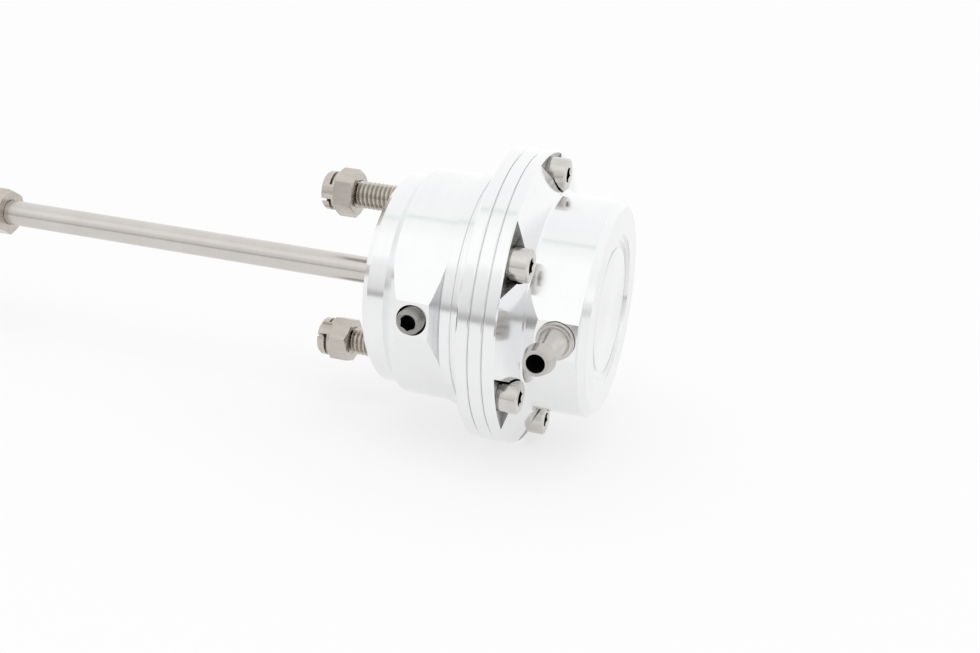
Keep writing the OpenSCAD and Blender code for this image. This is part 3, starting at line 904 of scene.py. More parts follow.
@dataclass
class Actuator:
    """Sizes that more than one sub-assembly needs, in millimetres."""

    wall_x: float = 7.4
    ring_x: float = 26.56
    seam_x: float = 29.47
    rim_x: float = 32.16
    flange_r: float = 31.9
    bevel: float = 0.35
    slot: float = 0.025
    slot_depth: float = 0.6
    bore_r: float = 21.5
    bush_r: float = 5.0
    seal_groove_r: float = 22.6
    bead_inner_r: float = 23.1
    bead_outer_r: float = 25.1
    bead_h: float = 1.2
    screw_circle: float = 27.7
    screw_thread_r: float = 1.8
    hole_r: float = 2.15
    socket: float = 3.0
    face_w: float = 7.6
    end_lean: float = 0.58
    hub_x: float = 32.67
    nut_x: float = 41.27
    neck_r: float = 2.5
    neck_thread_r: float = 2.25

    def disc_rim(self, x: float, way: int) -> Outline:
        """Corners of a disc's rim beside a seam.

        Args:
            x: Station of the seam.
            way: 1 where the disc starts at the seam, -1 where it ends there.

        Returns:
            The corners, from the seam outwards for a start and back to it for an end.
        """
        corners = [
            (x, self.flange_r - self.slot_depth, 0),
            (x + way * self.slot, self.flange_r - self.slot_depth, 0),
            (x + way * self.slot, self.flange_r - self.bevel, 0.05),
            (x + way * self.bevel, self.flange_r, 0.12),
        ]
        return corners[::way]


@dataclass
class Housing(Actuator):
    """The turned lower housing with its port boss, plug and plug seal."""

    front_r: float = 23.4
    front_len: float = 5.2
    front_bevel: float = 1.5
    body_r: float = 25.1
    body_len: float = 18.5
    band_r: float = 25.9
    neck_x: float = 20.7
    groove_w: float = 0.6
    groove_depth: float = 0.5
    flange_x: float = 23.9
    neck_fillet: float = 1.0
    bush_break: float = 0.4
    seal_groove_w: float = 1.8
    seal_groove_depth: float = 1.2
    face_r: float = 27.8
    plug_x: float = 13.2
    plug_r: float = 2.7
    plug_root_r: float = 2.25
    plug_pitch: float = 0.6
    plug_chamfer: float = 0.7
    plug_socket_depth: float = 3.4
    plug_mouth_r: float = 3.1
    plug_mouth_depth: float = 1.4
    plug_len: float = 6.0
    plug_proud: float = 2.1
    mouth_break: float = 0.12
    stud_circle: float = 17.2
    stud_mouth_r: float = 3.3
    stud_thread_r: float = 2.7
    stud_depth: float = 6.0
    hole_tip: float = 0.6

    def build(self, finishes: Finishes) -> None:
        """Builds the housing, the plug and its seal.

        Args:
            finishes: The finishes to use.
        """
        shell = self.turned()
        combine(shell, self.port_boss(), Join.FUSE)
        for hole in self.holes():
            combine(shell, hole, Join.CUT)
        smooth(shell)
        dress(shell, finishes.aluminium, Slot.ALUMINIUM, Body.HOUSING, "lower_housing")
        # painted shade: the plug's hole in the shell is made near-black
        paint(shell, finishes.hole_shade, self.in_port_hole)
        plug = dress(self.plug(), finishes.plug, Slot.GREY_STEEL, Body.HOUSING, "port_plug")
        # painted shade: the plug's socket is made near-black
        paint(plug, finishes.hole_shade, self.in_plug_socket)
        dress(self.seal(), finishes.rubber, Slot.RUBBER, Body.HOUSING, "plug_seal")

    def turned(self) -> Piece:
        """The turned form with its spring bore and the hole of the bush.

        Returns:
            The solid.
        """
        step = self.body_r - self.front_r
        deep = self.band_r - self.groove_depth
        return lathe("housing_shell", [
            (0, self.bush_r + self.bush_break, 0.1),
            (0, self.front_r - self.front_bevel, 0.25),
            (self.front_bevel, self.front_r, 0.35),
            (self.front_len, self.front_r, 0.12),
            (self.front_len + step, self.body_r, 0.12),
            (self.body_len, self.body_r, 0.08),
            (self.body_len, self.band_r, 0.12),
            (self.neck_x, self.band_r, 0.08),
            (self.neck_x, deep, 0.08),
            (self.neck_x + self.groove_w, deep, 0.08),
            (self.neck_x + self.groove_w, self.band_r, 0.08),
            (self.flange_x - self.neck_fillet, self.band_r, 0.3),
            (self.flange_x, self.band_r + self.neck_fillet, 0.3),
            (self.flange_x, self.flange_r - self.bevel, 0.1),
            (self.flange_x + self.bevel, self.flange_r, 0.12),
            *self.disc_rim(self.ring_x, -1),
            (self.ring_x, self.seal_groove_r + self.seal_groove_w, 0.08),
            (self.ring_x - self.seal_groove_depth, self.seal_groove_r + self.seal_groove_w, 0.15),
            (self.ring_x - self.seal_groove_depth, self.seal_groove_r, 0.15),
            (self.ring_x, self.seal_groove_r, 0.08),
            (self.ring_x, self.bore_r, 0.2),
            (self.wall_x, self.bore_r, 0.5),
            (self.wall_x, self.bush_r, 0.15),
            (self.bush_break, self.bush_r, 0.1),
        ])

    def port_boss(self) -> Piece:
        """The boss on the port side.

        Returns:
            The solid.
        """
        reach = math.hypot(self.face_r, self.face_w)
        inner = (self.bore_r + self.front_r) / 2
        trim = [
            (self.front_len, inner, 0),
            (self.front_len, self.front_r, 0),
            (self.front_len + reach - self.front_r, reach, 0),
            (self.body_len - (reach - self.body_r) * self.end_lean, reach, 0),
            (self.body_len, self.body_r, 0),
            (self.body_len, inner, 0),
        ]
        ends = self.front_len, self.body_len
        return boss("port_boss", *ends, self.body_r, self.face_r, self.face_w, trim)

    def holes(self) -> list[Piece]:
        """Tool solids of the plug's port, the stud holes and the flange's screw holes.

        Returns:
            The tool solids.
        """
        port = lathe("port_hole", [
            (self.bore_r - 2 * OVER, 0, 0),
            (self.bore_r - 2 * OVER, self.plug_r, 0),
            (self.face_r - self.plug_mouth_depth, self.plug_r, 0),
            (self.face_r - self.plug_mouth_depth, self.plug_mouth_r, 0),
            (self.face_r - self.mouth_break, self.plug_mouth_r, 0.05),
            (self.face_r + OVER, self.plug_mouth_r + OVER + self.mouth_break, 0),
            (self.face_r + OVER, 0, 0),
        ], Steps.SMALL)
        move(port, in_port(self.plug_x))
        tools = [port]
        for angle in (90, -90):
            hole = lathe("stud_hole", [
                (-OVER, 0, 0),
                (-OVER, self.stud_mouth_r + OVER, 0),
                (self.stud_mouth_r - self.stud_thread_r, self.stud_thread_r, 0.1),
                (self.stud_depth, self.stud_thread_r, 0),
                (self.stud_depth + OVER, 0, 0),
            ], Steps.STUD_HOLE)
            move(hole, on_ring(self.stud_circle, angle))
            tools.append(hole)
        ends = self.flange_x - self.hole_tip, self.ring_x + OVER
        return tools + screw_holes(*ends, self.screw_thread_r, self.screw_circle)

    def plug(self) -> Piece:
        """The threaded socket screw that closes the port and stands a little out of it.

        Returns:
            The piece.
        """
        top = self.face_r + self.plug_proud
        foot = top - self.plug_len
        ends = foot - OVER, top + OVER
        crest = self.plug_r - 0.01
        piece = threaded("port_plug_screw", *ends, crest, self.plug_root_r, self.plug_pitch)
        trim = lathe("plug_trim", [
            (foot, 0, 0),
            (foot, self.plug_root_r - 0.06, 0),
            (foot + 0.4, self.plug_r + 0.1, 0),
            (top - self.plug_chamfer, self.plug_r + 0.1, 0),
            (top - 0.08, self.plug_root_r - 0.12, 0.05),
            (top, self.plug_root_r - 0.22, 0.05),
            (top, 0, 0),
        ], Steps.FITTING)
        combine(piece, trim, Join.KEEP)
        cut_socket(piece, self.socket, top, self.plug_socket_depth, 0.5)
        smooth(piece, angle=36)
        move(piece, in_port(self.plug_x))
        return piece

    def in_plug_socket(self, centre: Vector, normal: Vector) -> bool:
        """Whether a face of the plug lies in its socket."""
        off, depth = self.off_port(centre), self.face_r + self.plug_proud + centre.y
        return in_socket(off, depth, self.socket, self.plug_socket_depth)

    def in_port_hole(self, centre: Vector, normal: Vector) -> bool:
        """Whether a face of the shell lies in the plug's hole."""
        off = self.off_port(centre)
        return off < self.plug_mouth_r + self.mouth_break and -centre.y < self.face_r - 0.005

    def off_port(self, centre: Vector) -> float:
        """Distance of a point from the port's axis."""
        return math.hypot(centre.x - self.plug_x, centre.z)

    def seal(self) -> Piece:
        """The small ring under the plug.

        Returns:
            The piece.
        """
        under = self.face_r + self.plug_proud - self.plug_len
        return turned("plug_seal_ring", [
            (under - 0.6, self.plug_r - 1, 0.15),
            (under - 0.6, self.plug_r - 0.02, 0.2),
            (under, self.plug_r - 0.02, 0.2),
            (under, self.plug_r - 1, 0.15),
        ], Steps.SMALL, in_port(self.plug_x))


@dataclass
class FlangeJoint(Actuator):
    """The middle ring, its flange seal and the six cap screws."""

    thread_end_x: float = 23.9
    seal_r: float = 0.6
    seal_side_gap: float = 0.3
    seal_squeeze: float = 0.98
    screw_r: float = 2.0
    screw_turn: float = 37.0
    head_r: float = 3.42
    head_h: float = 4.0
    head_undercut: float = 0.3

    def build(self, finishes: Finishes) -> None:
        """Builds the ring, the seal and the screws.

        Args:
            finishes: The finishes to use.
        """
        dress(self.ring(), finishes.aluminium, Slot.ALUMINIUM, Body.HOUSING, "mid_ring")
        dress(self.seal(), finishes.rubber, Slot.RUBBER, Body.HOUSING, "flange_seal")
        turn_step = math.radians(self.screw_turn)
        screws = round_the_screws(
            self.screw(), self.screw_circle, lambda number, angle: turn_step * number
        )
        for number, piece in enumerate(screws, 1):
            dress(piece, finishes.screws, Slot.STAINLESS, Body.HOUSING, "cap_screws")
            axis = on_ring(self.screw_circle, screw_angle(number)).translation / MM
            # painted shade: each screw's socket is made near-black
            paint(piece, finishes.hole_shade, partial(self.in_screw_socket, axis))

    def in_screw_socket(self, axis: Vector, centre: Vector, normal: Vector) -> bool:
        """Whether a face of the screw on an axis lies in its socket."""
        off = math.hypot(centre.y - axis.y, centre.z - axis.z)
        return in_socket(off, self.rim_x + self.head_h - centre.x, self.socket, self.head_h / 2)

    def ring(self) -> Piece:
        """The middle disc with its bead groove and screw holes.

        Returns:
            The piece.
        """
        piece = lathe("middle_ring", [
            (self.ring_x, self.bore_r, 0.1),
            *self.disc_rim(self.ring_x, 1),
            *self.disc_rim(self.seam_x, -1),
            (self.seam_x, self.bead_outer_r, 0.1),
            (self.seam_x - self.bead_h, self.bead_outer_r, 0.1),
            (self.seam_x - self.bead_h, self.bead_inner_r, 0.1),
            (self.seam_x, self.bead_inner_r, 0.1),
            (self.seam_x, self.bore_r, 0.1),
        ])
        ends = self.ring_x - OVER, self.seam_x + OVER
        for hole in screw_holes(*ends, self.hole_r, self.screw_circle):
            combine(piece, hole, Join.CUT)
        smooth(piece)
        return piece

    def seal(self) -> Piece:
        """The O-ring between the housing flange and the ring.

        Returns:
            The piece.
        """
        middle = ((self.ring_x - self.seal_r) * MM, 0, 0)
        deselect()
        bpy.ops.mesh.primitive_torus_add(
            major_segments=128, minor_segments=16, minor_radius=self.seal_r * MM,
            major_radius=(self.seal_groove_r + self.seal_side_gap + self.seal_r) * MM,
            location=middle, rotation=(0, math.pi / 2, 0),
        )
        piece = named("flange_o_ring")
        bpy.ops.object.transform_apply(location=True, rotation=True, scale=True)
        bpy.ops.object.mode_set(mode="EDIT")
        bpy.ops.mesh.select_all(action="SELECT")
        bpy.ops.transform.resize(value=(self.seal_squeeze, 1, 1), center_override=middle)
        bpy.ops.object.mode_set(mode="OBJECT")
        smooth(piece, 60)
        return piece

    def screw(self) -> Piece:
        """One socket head screw, on the axis.

        Returns:
            The solid.
        """
        top = self.rim_x + self.head_h
        piece = lathe("cap_screw", [
            (self.thread_end_x, 0, 0),
            (self.thread_end_x, self.screw_thread_r, 0.2),
            (self.ring_x, self.screw_thread_r, 0),
            (self.ring_x, self.screw_r, 0),
            (self.rim_x, self.screw_r, 0.05),
            (self.rim_x, self.head_r - self.head_undercut, 0.05),
            (self.rim_x + 0.25, self.head_r - self.head_undercut, 0),
            (self.rim_x + 0.4, self.head_r, 0.1),
            (top - 0.3, self.head_r, 0.1),
            (top, self.head_r - 0.35, 0.12),
            (top, 0, 0),
        ], Steps.FITTING)
        cut_socket(piece, self.socket, top, self.head_h / 2, 0.55)
        smooth(piece)
        return piece


@dataclass
class Cap(Actuator):
    """The turned cap with its web, pockets and boss, the hose barb and its seal."""

    web_x: float = 35.26
    end_x: float = 48.37
    ceiling_x: float = 44.87
    cap_r: float = 23.5
    cap_bevel: float = 1.5
    root: float = 0.5
    chamber_r: float = 19.6
    recess_r: float = 16.2
    recess_depth: float = 0.5
    groove_r: float = 13.4
    groove_w: float = 1.6
    seat_depth: float = 0.8
    pocket_r: float = 3.8
    pocket_arc: float = 98.0
    pocket_spread: float = 52.0
    pocket_reach: float = 6.0
    face_r: float = 25.2
    barb_x: float = 42.6
    barb_seat_r: float = 24.5
    barb_seal_t: float = 0.5
    barb_thread_r: float = 2.25
    barb_shoulder_r: float = 3.9
    barb_shoulder_t: float = 1.2
    barb_len: float = 13.6
    barb_neck_r: float = 2.2
    barb_mouth_r: float = 2.55
    barb_ridge_r: float = 3.25
    barb_bore_r: float = 1.85

    def build(self, finishes: Finishes) -> None:
        """Builds the cap, the barb and the barb's seal.

        Args:
            finishes: The finishes to use.
        """
        shell = self.turned()
        combine(shell, self.port_boss(), Join.FUSE)
        for hole in self.holes():
            combine(shell, hole, Join.CUT)
        smooth(shell)
        dress(shell, finishes.aluminium, Slot.ALUMINIUM, Body.HOUSING, "cap")
        # painted shade: the pockets' floors and walls get a darker grey
        paint(shell, finishes.pocket_shade, self.in_pocket)
        dress(self.barb(), finishes.barb, Slot.STAINLESS, Body.HOUSING, "hose_barb")
        dress(self.barb_seal(), finishes.rubber, Slot.RUBBER, Body.HOUSING, "barb_seal")

    def turned(self) -> Piece:
        """The turned form: flange, web, cylinder, recessed end face, chamber and diaphragm seat.

        Returns:
            The solid.
        """
        end, deep = self.end_x, self.end_x - self.recess_depth
        groove = deep - self.recess_depth
        seat_x = self.seam_x + self.seat_depth
        return lathe("cap_shell", [
            (self.seam_x, self.bead_outer_r, 0.1),
            *self.disc_rim(self.seam_x, 1),
            (self.rim_x - self.bevel, self.flange_r, 0.12),
            (self.rim_x, self.flange_r - self.bevel, 0.08),
            (self.web_x, self.cap_r + self.root, 0.3),
            (self.web_x + self.root, self.cap_r, 0.3),
            (end - self.cap_bevel, self.cap_r, 0.12),
            (end, self.cap_r - self.cap_bevel, 0.12),
            (end, self.recess_r, 0.1),
            (deep, self.recess_r, 0.1),
            (deep, self.groove_r + self.groove_w, 0.08),
            (groove, self.groove_r + self.groove_w, 0.08),
            (groove, self.groove_r, 0.08),
            (deep, self.groove_r, 0.08),
            (deep, 0, 0),
            (self.ceiling_x, 0, 0),
            (self.ceiling_x, self.chamber_r, 0.5),
            (seat_x, self.chamber_r, 0.2),
            (seat_x, self.bead_outer_r, 0.1),
        ])

    def pockets(self) -> list[Piece]:
        """Tool solids of the screw pockets: round behind the screw, spread towards the rim.

        Returns:
            The tool solids.
        """
        half_turns, steps = math.radians(self.pocket_arc), 48
        outline = []
        for k in range(steps + 1):
            turn = half_turns + (math.tau - 2 * half_turns) * k / steps
            outline.append((self.pocket_r * math.cos(turn), self.pocket_r * math.sin(turn)))
        slope = math.tan(math.radians(self.pocket_spread))
        mouth = outline[0][1] + (self.pocket_reach - outline[0][0]) * slope
        outline += [(self.pocket_reach, -mouth), (self.pocket_reach, mouth)]
        inwards = [(-out, across) for out, across in outline]
        pocket = prism("pocket", inwards, self.rim_x, self.web_x + 2 * OVER)
        return round_the_screws(
            pocket, self.screw_circle, lambda number, angle: -math.radians(angle)
        )

    def in_pocket(self, centre: Vector, normal: Vector) -> bool:
        """Whether a face of the shell is a floor or a wall of a screw pocket.

        Args:
            centre: The face's centre in millimetres.
            normal: The face's normal.

        Returns:
            True for a face of a pocket.
        """
        margin = 0.05
        floor = normal.x > 0.95 and abs(centre.x - self.rim_x) < margin
        beside = self.cap_r + margin < math.hypot(centre.y, centre.z) < self.flange_r - 10 * margin
        wall = abs(normal.x) < 0.1 and self.rim_x < centre.x < self.web_x + self.root
        return floor or (wall and beside)

    def port_boss(self) -> Piece:
        """The boss on the port side.

        Returns:
            The solid.
        """
        reach = math.hypot(self.face_r, self.face_w)
        inner = (self.chamber_r + self.cap_r) / 2
        trim = [
            (self.web_x, inner, 0),
            (self.web_x, self.cap_r, 0),
            (self.web_x + (reach - self.cap_r) / self.end_lean, reach, 0),
            (self.end_x, reach, 0),
            (self.end_x, inner, 0),
        ]
        ends = self.web_x, self.end_x - self.cap_bevel
        return boss("cap_boss", *ends, self.cap_r, self.face_r, self.face_w, trim)

    def holes(self) -> list[Piece]:
        """Tool solids of the barb's port and seat and of the screw holes.

        Returns:
            The tool solids.
        """
        port = lathe("barb_hole", [
            (self.chamber_r - 2 * OVER, 0, 0),
            (self.chamber_r - 2 * OVER, self.barb_thread_r, 0),
            (self.barb_seat_r, self.barb_thread_r, 0),
            (self.barb_seat_r, self.barb_shoulder_r + 0.1, 0),
            (self.face_r + 3 * OVER, self.barb_shoulder_r + 0.1, 0),
            (self.face_r + 3 * OVER, 0, 0),
        ], Steps.FITTING)
        move(port, in_port(self.barb_x))
        holes = screw_holes(self.seam_x - OVER, self.rim_x + OVER, self.hole_r, self.screw_circle)
        return self.pockets() + [port] + holes

    def barb(self) -> Piece:
        """The hose barb, turned from one bar.

        Returns:
            The piece.
        """
        seat = self.barb_seat_r + self.barb_seal_t
        neck = seat + self.barb_shoulder_t
        mouth = neck + self.barb_len
        return turned("barb_fitting", [
            (self.chamber_r, self.barb_bore_r, 0.1),
            (self.chamber_r, self.barb_thread_r, 0.1),
            (seat, self.barb_thread_r, 0),
            (seat, self.barb_shoulder_r, 0.15),
            (neck, self.barb_shoulder_r, 0.35),
            (neck, self.barb_neck_r + 0.9, 0.25),
            (neck + 7.5, self.barb_neck_r, 4.0),
            (mouth - 3.4, self.barb_neck_r, 0.1),
            (mouth - 3.2, self.barb_ridge_r, 0.12),
            (mouth - 0.15, self.barb_mouth_r, 0.15),
            (mouth, self.barb_mouth_r - 0.2, 0.08),
            (mouth, self.barb_bore_r, 0.12),
        ], Steps.FITTING, in_port(self.barb_x))

    def barb_seal(self) -> Piece:
        """The dark ring under the barb's shoulder.

        Returns:
            The piece.
        """
        return turned("barb_seal_ring", [
            (self.barb_seat_r, self.barb_thread_r, 0),
            (self.barb_seat_r, self.barb_shoulder_r, 0.2),
            (self.barb_seat_r + self.barb_seal_t, self.barb_shoulder_r, 0.2),
            (self.barb_seat_r + self.barb_seal_t, self.barb_thread_r, 0),
        ], Steps.FITTING, in_port(self.barb_x))


@dataclass
class Mounting:
    """The two threaded studs and their slotted lock nuts."""

    spacing: float = 34.4
    stud_r: float = 3.0
    root_r: float = 2.4
    pitch: float = 1.0
    stud_out: float = 18.0
    stud_in: float = 6.0
    nut_x: float = 10.7
    nut_af: float = 9.4
    hex_h: float = 4.5
    collar_h: float = 3.0
    collar_r: float = 4.3
    bore_r: float = 2.7
    slit: float = 0.6
    bridge: float = 3.2
    upper_turn: float = 8.0
    lower_turn: float = 47.0

    def build(self, finishes: Finishes) -> None:
        """Builds the studs and the nuts.

        Args:
            finishes: The finishes to use.
        """
        stud, nut = self.stud(), self.nut()
        for word, angle, turn in (("upper", 90, self.upper_turn), ("lower", -90, self.lower_turn)):
            place = on_ring(self.spacing / 2, angle)
            piece = copied(stud, f"stud_{word}")
            move(piece, place)
            dress(piece, finishes.hardware, Slot.STAINLESS, Body.HOUSING, "mounting_studs")
            piece = copied(nut, f"lock_nut_{word}")
            move(piece, place @ Matrix.Rotation(math.radians(-turn), 4, "X"))
            dress(piece, finishes.hardware, Slot.STAINLESS, Body.HOUSING, "stud_nuts")
        bpy.data.objects.remove(stud)
        bpy.data.objects.remove(nut)

    def stud(self) -> Piece:
        """A stud with its thread, on the axis.

        Returns:
            The solid.
        """
        ends = -self.stud_out - 2 * OVER, self.stud_in + 2 * OVER
        piece = threaded("stud_model", *ends, self.stud_r, self.root_r, self.pitch)
        trim = lathe("stud_trim", [
            (-self.stud_out, 0, 0),
            (-self.stud_out, self.root_r - 0.1, 0),
            (-self.stud_out + 0.7, self.stud_r + 0.1, 0),
            (0.15, self.stud_r + 0.1, 0),
            (0.5, self.bore_r - 0.02, 0),
            (self.stud_in, self.bore_r - 0.02, 0),
            (self.stud_in, 0, 0),
        ], Steps.SMALL)
        combine(piece, trim, Join.KEEP)
        smooth(piece, angle=38)
        return piece

    def nut(self) -> Piece:
        """A lock nut with a slotted collar, on the axis, its flats turned to the port side.

        Returns:
            The solid.
        """
        hex_x = -self.nut_x - self.hex_h
        end = hex_x - self.collar_h
        corner = self.nut_af / math.sqrt(3)
        flat = self.nut_af / 2
        piece = prism("nut_model", hexagon(self.nut_af), hex_x, -self.nut_x)
        break_edges(piece, width=0.12, angle=50)
        chamfer = lathe("nut_chamfer", [
            (hex_x, 0, 0),
            (hex_x, flat - 0.05, 0.1),
            (hex_x + 0.5, corner + 0.05, 0),
            (-self.nut_x - 0.5, corner + 0.05, 0),
            (-self.nut_x, flat - 0.05, 0.1),
            (-self.nut_x, 0, 0),
        ], Steps.BALL)
        combine(piece, chamfer, Join.KEEP)
        collar = lathe("collar", [
            (end, 0, 0),
            (end, self.collar_r - 0.35, 0.15),
            (end + 0.5, self.collar_r, 0.3),
            (hex_x + 0.3, self.collar_r, 0),
            (hex_x + 0.3, 0, 0),
        ], Steps.FITTING)
        combine(piece, collar, Join.FUSE)
        bore = lathe("nut_bore", [
            (end - OVER, 0, 0),
            (end - OVER, self.bore_r + 1.2, 0),
            (end + 0.35, self.bore_r, 0),
            (-self.nut_x - 0.5, self.bore_r, 0),
            (-self.nut_x + OVER, self.bore_r + 1.5, 0),
            (-self.nut_x + OVER, 0, 0),
        ], Steps.FITTING)
        combine(piece, bore, Join.CUT)
        slit_x = hex_x - 2 * self.slit
        wide, high = 2 * self.nut_af, self.bridge / 2
        low = -high - self.slit
        slit = [(-wide, high), (wide, high), (wide, wide), (-wide, wide)]
        slot = [(-wide, low), (0, low), (0, -high), (-wide, -high)]
        for half_turn in (0, math.pi):
            across = prism("slit", slit, slit_x, slit_x + self.slit)
            along = prism("slot", slot, end - OVER, slit_x + self.slit)
            for tool in (across, along):
                move(tool, Matrix.Rotation(half_turn, 4, "X"))
                combine(piece, tool, Join.CUT)
        smooth(piece)
        return piece


def threaded(name: str, x0: float, x1: float, crest: float, root: float, pitch: float) -> Piece:
    """A bar with a helical thread, on the axis.

    Args:
        name: Name of the piece.
        x0: Where it starts, in millimetres.
        x1: Where it ends, rounded to a whole pitch.
        crest: Radius of the thread's crest.
        root: Radius of its root.
        pitch: The pitch.

    Returns:
        The closed solid.
    """
    turns = round((x1 - x0) / pitch)
    shape = ((0.0, root), (0.22, root), (0.53, crest), (0.69, crest))  # shares of a pitch
    chain = [(x0 + (k + share) * pitch, r) for k in range(turns) for share, r in shape]
    chain.append((x0 + turns * pitch, root))
    deselect()
    bpy.ops.mesh.primitive_circle_add(vertices=len(chain), radius=MM, fill_type="NOTHING")
    piece = named(name)
    for vertex, (x, r) in zip(piece.data.vertices, chain):
        vertex.co = (x * MM, 0.0, r * MM)
    last = len(chain) - 1
    for edge in piece.data.edges:
        edge.select = set(edge.vertices) == {0, last}
    for vertex in piece.data.vertices:
        vertex.select = False
    bpy.ops.object.mode_set(mode="EDIT")
    bpy.ops.mesh.select_mode(type="EDGE")
    bpy.ops.mesh.delete(type="EDGE_FACE")
    bpy.ops.mesh.select_mode(type="VERT")
    bpy.ops.object.mode_set(mode="OBJECT")
    screw = piece.modifiers.new("thread", "SCREW")
    screw.axis = "X"
    screw.steps = screw.render_steps = 48
    screw.screw_offset = pitch * MM
    screw.iterations = 1
    apply(piece, screw)
    bpy.ops.object.mode_set(mode="EDIT")
    bpy.ops.mesh.select_all(action="SELECT")
    bpy.ops.mesh.remove_doubles(threshold=10 * WELD)
    middle = (x0 + turns * pitch / 2) * MM
    for _ in range(2):
        bpy.ops.mesh.select_all(action="DESELECT")
        bpy.ops.mesh.select_non_manifold()
        bpy.ops.object.mode_set(mode="OBJECT")
        open_ends = [vertex for vertex in piece.data.vertices if vertex.select]
        near = [vertex for vertex in open_ends if vertex.co.x < middle] or open_ends
        deselect_mesh(piece)
        for vertex in near:
            vertex.select = True
        bpy.ops.object.mode_set(mode="EDIT")
        bpy.ops.mesh.select_mode(type="VERT")
        bpy.ops.mesh.edge_face_add()
    weld(piece)
    return piece


@dataclass
class RodLine(Actuator):
    """The rod with its bush and seal, the jam nut and the rod end."""

    rod_r: float = 3.0
    thread_r: float = 2.7
    reach: float = 102.6
    jam_h: float = 5.0
    jam_af: float = 10.0
    tip_x: float = -121.6
    top_x: float = 44.57
    eye_x: float = -137.6
    eye_r: float = 10.0
    eye_t: float = 6.75
    shank_r: float = 5.2
    shank_af: float = 11.0
    foot_h: float = 6.0
    ball_r: float = 6.35
    ball_w: float = 9.0
    ball_bore_r: float = 3.0
    liner_t: float = 0.9
    clearance: float = 0.03
    bush_x: float = 3.0
    seal_x: float = 0.6
    bush_flange_r: float = 6.4
    bush_flange_t: float = 1.0

    def build(self, finishes: Finishes) -> None:
        """Builds the rod's pieces.

        Args:
            finishes: The finishes to use.
        """
        dress(self.rod(), finishes.rod, Slot.ROD, Body.ROD, "actuator_rod")
        dress(self.jam_nut(), finishes.hardware, Slot.STAINLESS, Body.ROD, "rod_jam_nut")
        dress(self.end_body(), finishes.hardware, Slot.STAINLESS, Body.ROD, "rod_end_body")
        dress(self.liner(), finishes.liner, Slot.LINER, Body.ROD, "rod_end_liner")
        dress(self.ball(), finishes.ball, Slot.BALL, Body.BALL, "rod_end_ball")
        dress(self.bush(), finishes.bronze, Slot.BRONZE, Body.HOUSING, "rod_bush")
        dress(self.seal(), finishes.rubber, Slot.RUBBER, Body.HOUSING, "rod_seal")

    def rod(self) -> Piece:
        """The rod, with its neck in the piston and its threaded end.

        Returns:
            The piece.
        """
        return turned("rod_bar", [
            (self.tip_x, 0, 0),
            (self.tip_x, self.thread_r - 0.4, 0.1),
            (self.tip_x + 0.4, self.thread_r, 0.1),
            (-self.reach, self.thread_r, 0),
            (-self.reach, self.rod_r, 0.1),
            (self.hub_x, self.rod_r, 0.05),
            (self.hub_x, self.neck_r, 0),
            (self.nut_x, self.neck_r, 0.05),
            (self.nut_x, self.neck_thread_r, 0),
            (self.top_x - 0.4, self.neck_thread_r, 0.1),
            (self.top_x, self.neck_thread_r - 0.4, 0.1),
            (self.top_x, 0, 0),
        ], Steps.FITTING)

    def jam_nut(self) -> Piece:
        """The nut that locks the rod end."""
        ends = -self.reach - self.jam_h, -self.reach
        return plain_nut("jam_nut", *ends, self.jam_af, self.thread_r)

    def end_body(self) -> Piece:
        """The rod end: eye, shank and six-sided foot.

        Returns:
            The piece.
        """
        jam_x = -self.reach - self.jam_h
        foot_x = jam_x - self.foot_h
        corner = self.shank_af / math.sqrt(3)
        race_r = self.ball_r + self.clearance + self.liner_t
        neck_x = self.eye_x + math.sqrt(self.eye_r**2 - self.shank_r**2)
        piece = bar("rod_end_housing", neck_x - 4, jam_x - 0.2, self.shank_r, Steps.FITTING)
        foot = prism("foot", hexagon(self.shank_af), foot_x, jam_x)
        break_edges(foot, width=0.2, angle=50)
        combine(foot, lathe("foot_trim", [
            (foot_x, 0, 0),
            (foot_x, self.shank_af / 2, 0.2),
            (foot_x + 1, corner, 0),
            (jam_x - 0.5, corner, 0),
            (jam_x, corner - 0.7, 0.1),
            (jam_x, 0, 0),
        ], Steps.FITTING), Join.KEEP)
        combine(piece, foot, Join.FUSE)
        eye = lathe("eye", [
            (-self.eye_t / 2, 0, 0),
            (-self.eye_t / 2, self.eye_r - 0.6, 0.2),
            (-self.eye_t / 2 + 0.6, self.eye_r, 0.3),
            (self.eye_t / 2 - 0.6, self.eye_r, 0.3),
            (self.eye_t / 2, self.eye_r - 0.6, 0.2),
            (self.eye_t / 2, 0, 0),
        ], Steps.DISC)
        move(eye, in_port(self.eye_x))
        combine(piece, eye, Join.FUSE)
        race = bar("race", -self.eye_r, self.eye_r, race_r, Steps.BALL)
        move(race, in_port(self.eye_x))
        combine(piece, race, Join.CUT)
        hole = bar("shank_hole", self.tip_x - OVER, jam_x + OVER, self.thread_r, Steps.SMALL)
        combine(piece, hole, Join.CUT)
        smooth(piece)
        return piece

    def liner(self) -> Piece:
        """The liner that holds the ball.

        Returns:
            The piece.
        """
        inner = self.ball_r + self.clearance
        outer = inner + self.liner_t
        half = self.eye_t / 2
        steps = 16
        hollow = [half - t * self.eye_t / steps for t in range(steps + 1)]
        corners: Outline = [(-half, outer, 0.05), (half, outer, 0.05)]
        corners += [(x, math.sqrt(inner**2 - x**2), 0) for x in hollow]
        return turned("liner_ring", corners, Steps.BALL, in_port(self.eye_x))

    def ball(self) -> Piece:
        """The drilled ball.

        Returns:
            The piece.
        """
        half = self.ball_w / 2
        corners: Outline = [(half, self.ball_bore_r, 0.25), (-half, self.ball_bore_r, 0.25)]
        steps = 28
        corners += [
            (x, math.sqrt(self.ball_r**2 - x**2), 0)
            for x in (-half + t * self.ball_w / steps for t in range(steps + 1))
        ]
        return turned("swivel_ball", corners, Steps.BALL, in_port(self.eye_x))

